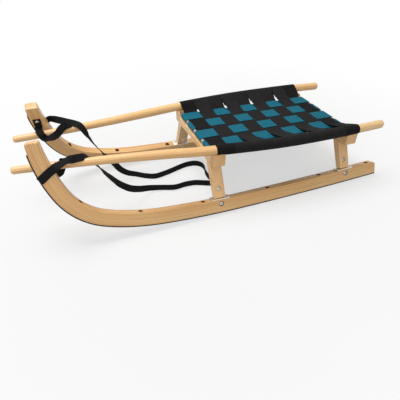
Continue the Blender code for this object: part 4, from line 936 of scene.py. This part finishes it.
def runner_tools():
    """Everything that is drilled or slotted in the left runner."""
    tools = []
    rim, way = RECESS_R + 0.0009, BOLT_R + GAP
    for x in RECESS_X:
        s = s_of_top(x)
        h = height(s)
        floor = h - RECESS_DEPTH
        profile = [(0, -0.01), (way, -0.01), (way, floor), (RECESS_R, floor), (RECESS_R, h - 0.0007),
                   (rim, h + 0.0003), (rim, h + 0.01), (0, h + 0.01)]
        tools.append(placed(lathe(profile), sole_frame(s)))
    for tr in trestles:
        slot = tongue_slot(0.0006, SLOT_SIDE, -TONGUE_DOWN - 0.0015, 0.02)
        tools.append(placed(slot, tr.tongue))
    return tools


EDGE_LEFT, WALL_IN, SLOT_MOUTH = 0.0003, 0.0001, -0.0022


def hollows():
    """Test that gives 1 on the walls of what is drilled or slotted in the left runner, 0 elsewhere; it places the
    painted shade in those hollows.
    """
    plane = RUNNER_PLANE.inverted()
    ways = []
    for s in map(s_of_top, RECESS_X):
        top = height(s) - EDGE_LEFT - WALL_IN
        ways.append((sole_frame(s).inverted(), RECESS_R + 4 * WALL_IN, EDGE_LEFT, top))
    head = JOINT_HEAD_R + HEAD_ROOM + WALL_IN
    for tr in trestles:
        place, face, back = tr.runner_bolt()
        ways.append((place.inverted(), head, EDGE_LEFT - back, face - EDGE_LEFT))
    slots = [tr.tongue.inverted() for tr in trestles]
    slot_l, slot_t = TONGUE_L / 2 + 7 * WALL_IN, TONGUE_T / 2 + SLOT_SIDE + WALL_IN

    def inside(point):
        for back, radius, low, top in ways:
            local = back @ point
            if low < local.z < top and hypot(local.x, local.y) < radius:
                return 1.0
        if abs((plane @ point).z) < RUN_W / 2 - EDGE_LEFT:
            for back in slots:
                x, y, z = back @ point
                if z < SLOT_MOUTH and abs(x) < slot_l and abs(y) < slot_t:
                    return 1.0
        return 0.0

    return inside


def grain_of(mesh):
    """Metres along the bent fibres, above the sole and across, for every point of a left runner."""
    back = RUNNER_PLANE.inverted()
    local = points_of(mesh) @ np.array(back.to_3x3()).T + np.array(back.translation)
    stations = np.linspace(-REAR_LEN - 0.002, SOLE_FRONT + 0.002, 700)
    line = np.array([sole(s) for s in stations])
    gap = local[:, None, :2] - line[None, :, :2]
    nearest = (gap**2).sum(axis=2).argmin(axis=1)
    x, t, a = line[nearest].T
    dx, dt = local[:, 0] - x, local[:, 1] - t
    run, depth = stations[nearest] - dx * np.cos(a) + dt * np.sin(a), dx * np.sin(a) + dt * np.cos(a)
    return np.stack([run, depth, local[:, 2]], axis=1)


def on_runner_body(name, mesh, side, finish, node, angle=40):
    """Piece drawn for the left runner, on either runner, in place of its solid."""
    own = smoothed(placed(mesh.copy(), mirror(side)), angle)
    piece(f"{name}_{side}", own, finish, f"runner_{side}_body", (f"{node}_{side}",))


def fitted(name, unit, frames, side, finish, body=None, node=None, spin=0.0, seed=1):
    """One piece with the unit at every frame of a side, fixed to that side's runner or to another body."""
    mesh = set_out(unit.copy(), [on_side(f, side) for f in frames], finish, spin, seed)
    stands_for = (f"{node}_{side}",) if node else ()
    piece(f"{name}_{side}", mesh, finish, body or f"runner_{side}_body", stands_for)


def build_runners():
    mesh = cut(skin(runner_rings()), joined(runner_tools()))
    for tr in trestles:
        place, face, back = tr.runner_bolt()
        mesh = cut(mesh, placed(bolt_way(face, back), place))
    low, way = -STRAP_SCREW_END - 0.0007, STRAP_SCREW_R + GAP
    mesh = cut(mesh, placed(lathe([(0, low), (way, low), (way, 0.03), (0, 0.03)], 20), strap_screw_frame()))
    store(mesh, "grain", grain_of(mesh))
    # Painted shade on the walls of the recesses, bolt pockets and tongue slots.
    mark_faces(mesh, "hollow", hollows())
    for side in SIDES:
        on_runner_body("bent_runner", mesh, side, bent_wood, "runner", 32)


def strap_screw_frame():
    return axis_frame(on_runner(STRAP_SCREW_X, STRAP_SCREW_T, 0), runner_dir(0, 0, -1))


build_runners()


# Side rails
RAIL_ENDS = (0, 0.0003, 0.001, 0.002, 0.0035, 0.005, 0.007)
BACK_SHARE, RAIL_STEPS, RAIL_SIDES = 10 / 7, 150, 40


def build_rails():
    front = [RAIL_FRONT + d for d in RAIL_ENDS]
    back = [RAIL_BACK - d * BACK_SHARE for d in RAIL_ENDS][::-1]
    xs = front + spread(front[-1], back[0], RAIL_STEPS)[:-1] + back
    for side, sign in zip(SIDES, (-1, 1)):
        line = bpy.data.meshes.new("line")
        places = [(x, sign * rail_y(x), rail_z(x)) for x in xs]
        line.from_pydata(places, [(i, i + 1) for i in range(len(xs) - 1)], [])
        store(line, "radius", [rail_r(x) for x in xs], "FLOAT")
        mesh = round_bar.grow(line, rail_wood, Sides=RAIL_SIDES)
        x, y, z = points_of(mesh).T
        centre_y, centre_z = np.array([(rail_y(v), rail_z(v)) for v in x]).T
        store(mesh, "grain", np.stack([x + 3.1 + sign, z - centre_z + 0.2, y - sign * centre_y], axis=1))
        piece(f"round_rail_{side}", smoothed(mesh, 50), rail_wood, "seat_frame", (f"side_rail_{side}",))


build_rails()


# Woven seat
def seat_centre(x):
    a, b = BAR_X["front"], BAR_X["rear"]
    za, zb = (tr.bar_z + BAR_R + GAP + WEB_T / 2 - LIFT for tr in trestles)
    return za + (zb - za) * (x - a) / (b - a)


def knee(x, over):
    """Where a cross band turns up to the rail, how softly, and its slope there; near a bar it stays flat.

    A band over the outer long band leaves it early, one that passes under it only past its edge.
    """
    reach = min(x - BAR_X["front"], BAR_X["rear"] - x)
    u = smooth((reach - 0.012) / KNEE_RUN)
    at_bar = KNEE_BAR if x < SEAT_MID or not over else KNEE_REAR
    start, ease = (a + (b - a) * u for a, b in zip(at_bar, KNEE_OVER if over else KNEE_UNDER))
    across, up = rail_y(x) - start, rail_z(x) - seat_centre(x)
    return start, ease, atan2(up, across) + asin(WRAP_R / hypot(across, up))


def tangent_y(x, over):
    return rail_y(x) - WRAP_R * sin(knee(x, over)[2])


def seat_z(x, y, over):
    start, ease, angle = knee(x, over)
    return seat_centre(x) + tan(angle) * ease * log(1 + exp((abs(y) - start) / ease))


def long_y(j):
    return (j - (LONG_N - 1) / 2) * LONG_PITCH


def over_sign(i, j):
    """+1 where the long band passes over the cross band."""
    return 1 if (i + j) % 2 == (LONG_N - 1) % 2 else -1


LIFT_RUN = 0.015


def cross_lift(i, y):
    """Offset of cross band i at y: opposite to the long band it meets."""
    ys = [long_y(j) for j in range(LONG_N)]
    signs = [-over_sign(i, j) for j in range(LONG_N)]
    if not ys[0] < y < ys[-1]:
        end = 0 if y < 0 else -1
        return LIFT * signs[end] * (1 - smooth((abs(y) - ys[-1] - LONG_W / 2) / LIFT_RUN))
    j = next(j for j in range(LONG_N) if y <= ys[j + 1])
    u = smooth((y - ys[j] - LONG_W / 2) / (LONG_PITCH - LONG_W))
    return LIFT * (signs[j] + (signs[j + 1] - signs[j]) * u)


def leaving_angle(x, over):
    """Angle round the rail where the straight run to the seat's underside leaves it."""
    join = tail_points(x, over)[0]
    away = (join[0] - rail_y(x), join[1] - rail_z(x))
    return atan2(away[1], away[0]) % tau + acos(WRAP_R / hypot(*away)) - tau


TAIL_JOIN, TAIL_MAX = 0.014, 0.030


def tail_points(x, over):
    """Tail of a cross band, from its first point under the seat inwards along the seat's underside."""
    join = tangent_y(x, over) - TAIL_JOIN
    end = max(TAIL_Y, join - TAIL_MAX)
    return [(y, seat_z(x, y, over) - UNDER) for y in (join, (join + end) / 2, end)]


WOVEN_Y = long_y(LONG_N - 1) + LONG_W / 2
KNEE_Y, WIDER_RUN, STEP_BACK = WOVEN_Y + 0.012, 0.022, radians(8)
SPREAD_FROM, SPREAD_EASE = 0.0105, 0.0050
FLAT_STEPS, KNEE_STEPS, WRAP_STEPS, TAIL_STEPS = 44, 12, 28, 4


def build_cross_band(i):
    k = i - (CROSS_N - 1) / 2
    mid_edge, mid_woven = SEAT_MID + k * CROSS_PITCH, SEAT_MID + k * CROSS_PITCH_WOVEN
    at_beam = i in (0, CROSS_N - 1)

    def x_at(y, v):
        """Each thread's place: the band is drawn in where it meets a long band and spreads between them."""
        u = smooth((abs(y) - WOVEN_Y - 0.006) / WIDER_RUN)
        between = (y / LONG_PITCH) % 1
        away = min(between, 1 - between) * LONG_PITCH
        wider = SPREAD * (1 - smooth((away - SPREAD_FROM) / SPREAD_EASE)) if abs(y) < WOVEN_Y else 0.0
        width = WEB_W_WOVEN + (WEB_W - WEB_W_WOVEN) * u + wider
        return mid_woven + (mid_edge - mid_woven) * u + v * width / 2

    def half_column(v, sign):
        """Points of one thread line from the middle out, round the rail and back under the seat."""
        over = over_sign(i, 0 if sign < 0 else LONG_N - 1) < 0
        x = mid_edge + v * WEB_W / 2
        out = []
        rise = spread(KNEE_Y, tangent_y(x, over), KNEE_STEPS)[:-1]
        for y in [0.0] + spread(0, KNEE_Y, FLAT_STEPS) + rise:
            here = x_at(y, v)
            out.append((here, sign * y, seat_z(here, y, over) + cross_lift(i, sign * y)))
        start = pi / 2 + knee(x, over)[2]
        end = END_ANGLE if at_beam else leaving_angle(mid_edge, over) - STEP_BACK
        for a in [start] + spread(start, end, WRAP_STEPS):
            out.append((x, sign * (rail_y(x) + WRAP_R * cos(a)), rail_z(x) + WRAP_R * sin(a)))
        for y, z in [] if at_beam else tail_points(x, over):
            out += spread_pairs(out[-1], (x, sign * y, z), TAIL_STEPS)
        return out

    rows = list(zip(*(half_column(v, -1)[::-1] + half_column(v, 1)[1:] for v in ACROSS)))
    name, node = f"band_across_{i + 1}", f"cross_band_{i + 1}"
    obj = band(name, rows, WEB_T, black_web, "black_webbing", "seat_frame", (node,))
    if at_beam:
        tr = trestles[i > 0]
        low = (tr.face - 0.006, -tr.end_y - 0.02, tr.top - 0.03)
        high = (tr.face + BEAM_T + 0.0008, -SHOULDER_Y - 0.002, tr.top + 0.0008)
        obj.data = cut(obj.data, joined([placed(box(low, high), mirror(side)) for side in SIDES]))


def woven_lift(j, x):
    """Offset of long band j at x."""
    k = (x - SEAT_MID) / CROSS_PITCH_WOVEN + (CROSS_N - 1) / 2
    i = max(0, min(CROSS_N - 1, int(round(k))))
    gap = 1 - WEB_W_WOVEN / CROSS_PITCH_WOVEN
    other = i + (1 if k > i else -1)
    here = over_sign(i, j)
    inside = 0 <= other < CROSS_N
    there = over_sign(other, j) if inside else 1
    u = smooth((abs(k - i) - 0.5 + gap / 2) / (gap if inside else gap * 1.6))
    return LIFT * (here + (there - here) * u)


LOOP_OVER, LOOP_UNDER, LOOP_END = 90, 118, -115
TAIL_STRAIGHT, TAIL_RISE = 0.006, 0.030


def loop_points(which, way, over):
    """(x, z) points round a bar and back under the weave; a band coming from below meets the bar sooner."""
    bar_x, bar_z = BAR_X[which], trestles[which == "rear"].bar_z
    r = BAR_R + GAP + WEB_T / 2
    start = LOOP_OVER if over > 0 else LOOP_UNDER
    turn = [radians(a) for a in [start] + spread(start, LOOP_END, 24)]
    points = [(bar_x + way * r * cos(a), bar_z + r * sin(a)) for a in turn]
    for d in spread(TAIL_STRAIGHT, TAIL_RUN, 14):
        x = bar_x - way * d
        u = smooth((d - TAIL_STRAIGHT) / TAIL_RISE)
        points.append((x, (bar_z - r + 0.0006) * (1 - u) + (seat_centre(x) - UNDER) * u))
    return points


def build_long_band(j):
    xs = []
    for i in range(CROSS_N):
        mid = SEAT_MID + (i - (CROSS_N - 1) / 2) * CROSS_PITCH_WOVEN
        low, high = mid - WEB_W_WOVEN / 2, mid + WEB_W_WOVEN / 2
        xs += (spread(xs[-1], low, 5) if xs else [low]) + spread(low, high, 8)
    line = [(x, seat_centre(x) + woven_lift(j, x)) for x in xs]
    front = loop_points("front", -1, over_sign(0, j))
    rear = loop_points("rear", 1, over_sign(CROSS_N - 1, j))
    rows = [[(x, long_y(j) + v * LONG_W / 2, z) for v in ACROSS] for x, z in front[::-1] + line + rear]
    band(f"band_along_{j + 1}", rows, WEB_T, teal_web, "teal_webbing", "seat_frame", (f"long_band_{j + 1}",))


for index in range(CROSS_N):
    build_cross_band(index)
for index in range(LONG_N):
    build_long_band(index)


# Steel strips with their countersunk screws and the nuts in the runner's top
SOLE_FACE = -GAP - STRIP_T
SINK_R, CORE_R, THREAD_TURNS, THREAD_PITCH = 0.0044, BOLT_R - 0.0003, 14, 0.00072


def cross_cut(head, long, wide, low, high):
    """The screw head with a cross slot."""
    for x, y in ((long, wide), (wide, long)):
        head = cut(head, box((-x, -y, low), (x, y, high)))
    return head


def strip_screw_unit():
    """Countersunk slotted screw head, its face just inside the strip's underside, local Z into the wood."""
    face = SOLE_FACE + 0.00015
    head = lathe([(0, face), (0.0040, face), (0.0042, face + 0.0002), (BOLT_R, face + 0.0019),
                  (BOLT_R, 0.010), (0, 0.010)])
    return cut(head, box((-0.02, -0.0005, face - 0.01), (0.02, 0.0005, face + 0.0011)))


def nut_unit():
    """Chamfered hexagon nut on its threaded screw end, seated at local zero."""
    r = NUT_AF / 2 / cos(pi / 6)
    wide, narrow, chamfer = r + 0.0001, r - 0.0006, 0.0005
    limit = [(0, 0), (narrow, 0), (wide, chamfer), (wide, NUT_H - chamfer), (narrow, NUT_H), (0, NUT_H)]
    nut = cut(prism(arc(0, 0, r, 0, 300, 5), 0, NUT_H), lathe(limit, 36), "INTERSECT")
    rings = [(0, -0.004)]
    for k in range(THREAD_TURNS):
        z = -0.004 + k * THREAD_PITCH
        rings += [(BOLT_R, z), (CORE_R, z + THREAD_PITCH / 2)]
    rings += [(BOLT_R - 0.0006, NUT_H + 0.002), (0, NUT_H + 0.002)]
    return cut(nut, lathe(rings, 20), "UNION")


def worn_by_snow(point):
    """1 on the strip's underside where it runs on the ground, fading up the bend, 0 on its edges."""
    x, t, _ = RUNNER_PLANE.inverted() @ point
    _, t_sole, slope = sole(station(x))
    if (t - t_sole) * cos(slope) > SOLE_FACE + 0.0004:
        return 0.0
    return 1 - smooth((t - 0.010) / 0.070)


def build_strips():
    stop = SOLE_FRONT - STRIP_STOP
    line = [s for s in runner_stations() if s <= stop - 0.004]
    rings = []
    for s in line + [stop - d for d in (0.002, 0.001, 0.0003, 0)]:
        low, half = SOLE_FACE + inset(stop - s, 0.002), STRIP_W / 2 - inset(stop - s, 0.0015)
        ring = rounded_section(low, -GAP, half, 0.0004, 6, 1)
        rings.append([on_runner(*off_sole(s, h), w) for h, w in ring])
    spots = [s_of_top(x) for x in RECESS_X] + [SOLE_FRONT - HORN_SCREW_BACK]
    way = BOLT_R + 0.0002
    sink = [(0, -0.008), (SINK_R, -0.008), (SINK_R, SOLE_FACE), (way, SOLE_FACE + 0.0021),
            (way, 0.002), (0, 0.002)]
    mesh = cut(skin(rings), joined([placed(lathe(sink), sole_frame(s)) for s in spots]))
    mark_faces(mesh, "worn", worn_by_snow)
    screw, nut = strip_screw_unit(), nut_unit()
    heads = [sole_frame(s) for s in spots]
    seats = [sole_frame(s, height(s) - RECESS_DEPTH + GAP) for s in spots[:-1]]
    for side in SIDES:
        on_runner_body("sole_strip", mesh, side, shadow_dark_strip_steel, "steel_strip", 32)
        fitted("strip_screws", screw, heads, side, spring_steel, spin=tau, seed=3)
        fitted("strip_nuts", nut, seats, side, shade_dark_zinc, spin=tau, seed=5)


build_strips()


# Joints between legs and runners
def bolt_unit(face, back):
    """Domed bolt with a hexagon socket, local Z outwards from the tongue."""
    r, seat = JOINT_HEAD_R, face - JOINT_HEAD_H + GAP
    h = JOINT_HEAD_H - GAP
    dome = [(r - 0.0003, seat), (r, seat + 0.0003), (r, seat + h * 0.45), (r * 0.93, seat + h * 0.66),
            (r * 0.78, seat + h * 0.84), (r * 0.55, seat + h * 0.95), (0, seat + h)]
    body = lathe([(0, -back - 0.0005), (JOINT_BOLT_R - 0.0005, -back - 0.0005), (JOINT_BOLT_R, -back),
                  (JOINT_BOLT_R, seat)] + dome, 40)
    socket = prism(arc(0, 0, 0.0025, 0, 300, 5), seat + h - 0.0018, seat + h + 0.01)
    return cut(body, socket)


def build_joint_bolts():
    for tr in trestles:
        bolts = (("leg", "seat_frame", tr.leg_bolt()), ("runner", None, tr.runner_bolt()))
        for part, body, (place, face, back) in bolts:
            unit, name = smoothed(bolt_unit(face, back), 30), f"{tr.which}_{part}"
            for side in SIDES:
                fitted(name + "_joint_bolt", unit, [place], side, zinc, body=body, node=name + "_bolt")


def plate_screw_unit():
    """Raised wood screw head with a cross slot."""
    profile = [(0, -0.004), (0.0017, -0.004), (0.0017, -0.0012), (0.0030, -0.0006), (0.0034, 0.0001),
               (0.0033, 0.0005), (0.0024, 0.0011), (0.0012, 0.0014), (0, 0.0015)]
    return cross_cut(lathe(profile, 28), 0.0021, 0.00035, 0.0004, 0.004)


PLATE_CORNER, PLATE_SCREW_IN = 0.004, 0.006


def build_foot_plates():
    x, y = PLATE_L / 2 - PLATE_CORNER, PLATE_W / 2 - PLATE_CORNER
    corners = ((x, y), (-x, y), (-x, -y), (x, -y))
    outline = [p for k, c in enumerate(corners) for p in arc(*c, PLATE_CORNER, 90 * k, 90 * k + 90)]
    screw = smoothed(plate_screw_unit(), 30)
    for tr in trestles:
        place = tr.plate()
        mid = Matrix.Translation((0, (place.inverted() @ tr.hinge).y, 0))
        slot = placed(tongue_slot(0.0008, 0.0012, -0.01, 0.01), mid)
        mesh = placed(cut(eased(prism(outline, -PLATE_T / 2, PLATE_T / 2), 0.0005, 2), slot), place)
        reach = PLATE_L / 2 - PLATE_SCREW_IN
        spots = [place @ Matrix.Translation((way * reach, 0, PLATE_T / 2)) for way in (-1, 1)]
        for side in SIDES:
            name, node = f"{tr.which}_sole_plate", f"{tr.which}_foot_plate"
            on_runner_body(name, mesh, side, reflection_tinted_zinc, node)
            fitted(f"{tr.which}_plate_screws", screw, spots, side, zinc, spin=1.4, seed=7)


def build_strap_screws():
    """Round-headed cross-slotted screw that holds each slack loop to its horn."""
    top = RUN_W / 2 + 2 * GAP + STRAP_T
    profile = [(0, -STRAP_SCREW_END), (STRAP_SCREW_R, 0.007 - STRAP_SCREW_END), (STRAP_SCREW_R, top),
               (STRAP_SCREW_HEAD_R, top), (STRAP_SCREW_HEAD_R, top + 0.0005), (0.0046, top + 0.0011),
               (0.0030, top + 0.0018), (0, top + 0.0020)]
    unit = cross_cut(lathe(profile), 0.0026, 0.0004, top + 0.0010, top + 0.004)
    for side in SIDES:
        fitted("horn_screw", unit, [strap_screw_frame()], side, zinc, node="strap_screw")


build_joint_bolts()
build_foot_plates()
build_strap_screws()


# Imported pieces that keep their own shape
def dress(node, finish):
    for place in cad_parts[node].material_slots:
        place.material = finish


for which in TRESTLES:
    dress(f"{which}_crossbeam", beam_wood)
    dress(f"{which}_webbing_bar", spring_steel)
    for side in SIDES:
        dress(f"{which}_leg_{side}", leg_wood[side])
        dress(f"{which}_tongue_{side}", spring_steel)
        for part in ("leg_nut", "runner_nut", "rail_screw"):
            dress(f"{which}_{part}_{side}", zinc)


# Pale floor and soft light
def backdrop():
    """Floor with a faint shadow near the sled, plain white further off, that bounces little light."""
    f = Finish("pale_floor")
    place = f.place()
    reach = f.node("VectorMath", {"operation": "LENGTH"}, {0: place}, 1)
    rays = f.node("LightPath").socket.node.outputs
    camera, glossy, through = (Wire(f, rays[f"Is {by} Ray"]) for by in ("Camera", "Glossy", "Transmission"))
    seen = (camera + glossy + through).clamped()
    share = (f.between(reach, *WHITE_FROM_TO) * (1 - FLOOR_GLOW) + FLOOR_GLOW) * seen
    base = f.blend(f.noise(place, (1.3, 1.3, 1.3)), (0.74, 0.74, 0.74, 1), (0.77, 0.77, 0.77, 1))
    base = f.blend(seen, (FLOOR_BOUNCE, FLOOR_BOUNCE, FLOOR_BOUNCE, 1), base)
    matt = f.node("BsdfDiffuse", {}, {"Color": base, "Roughness": 1.0})
    white = f.node("Emission", {}, {"Color": (1, 1, 1, 1), "Strength": 1.0})
    return f.ended(f.node("MixShader", {}, {0: share, 1: matt, 2: white}))


def build_floor():
    bm = bmesh.new()
    bmesh.ops.create_grid(bm, x_segments=1, y_segments=1, size=30)
    floor = linked("floor", drawn(bm))
    floor.data.materials.append(backdrop())


def build_sky():
    world = bpy.data.worlds.new("soft_sky")
    world.use_nodes = True
    tree = world.node_tree
    sky = tree.nodes["Background"]
    sky.inputs["Color"].default_value = (1, 1, 1, 1)
    rays = tree.nodes.new("ShaderNodeLightPath")
    pick = tree.nodes.new("ShaderNodeMapRange")
    pick.inputs["To Min"].default_value, pick.inputs["To Max"].default_value = SKY, 1.0
    tree.links.new(rays.outputs["Is Camera Ray"], pick.inputs["Value"])
    tree.links.new(pick.outputs[0], sky.inputs["Strength"])
    bpy.context.scene.world = world


def lamp(name, place, size, power):
    """Round soft lamp that points at the sled."""
    data = bpy.data.lights.new(name, "AREA")
    data.shape, data.size, data.energy = "DISK", size, power
    turn = (LAMP_AIM - Vector(place)).to_track_quat("-Z", "Y")
    linked(name, data).matrix_world = Matrix.Translation(place) @ turn.to_matrix().to_4x4()


SKY, FLOOR_GLOW, FLOOR_BOUNCE, WHITE_FROM_TO = 0.62, 0.55, 0.34, (0.45, 1.5)
LAMP_AIM = Vector((0, 0, 0.1))
build_floor()
build_sky()
lamp("ceiling_softbox", (-0.7, 0.4, 2.3), 1.3, 40)
lamp("front_softbox", (-1.4, -2.2, 1.2), 1.6, 14)
bpy.context.scene.view_settings.view_transform = "Standard"

bpy.context.view_layer.update()
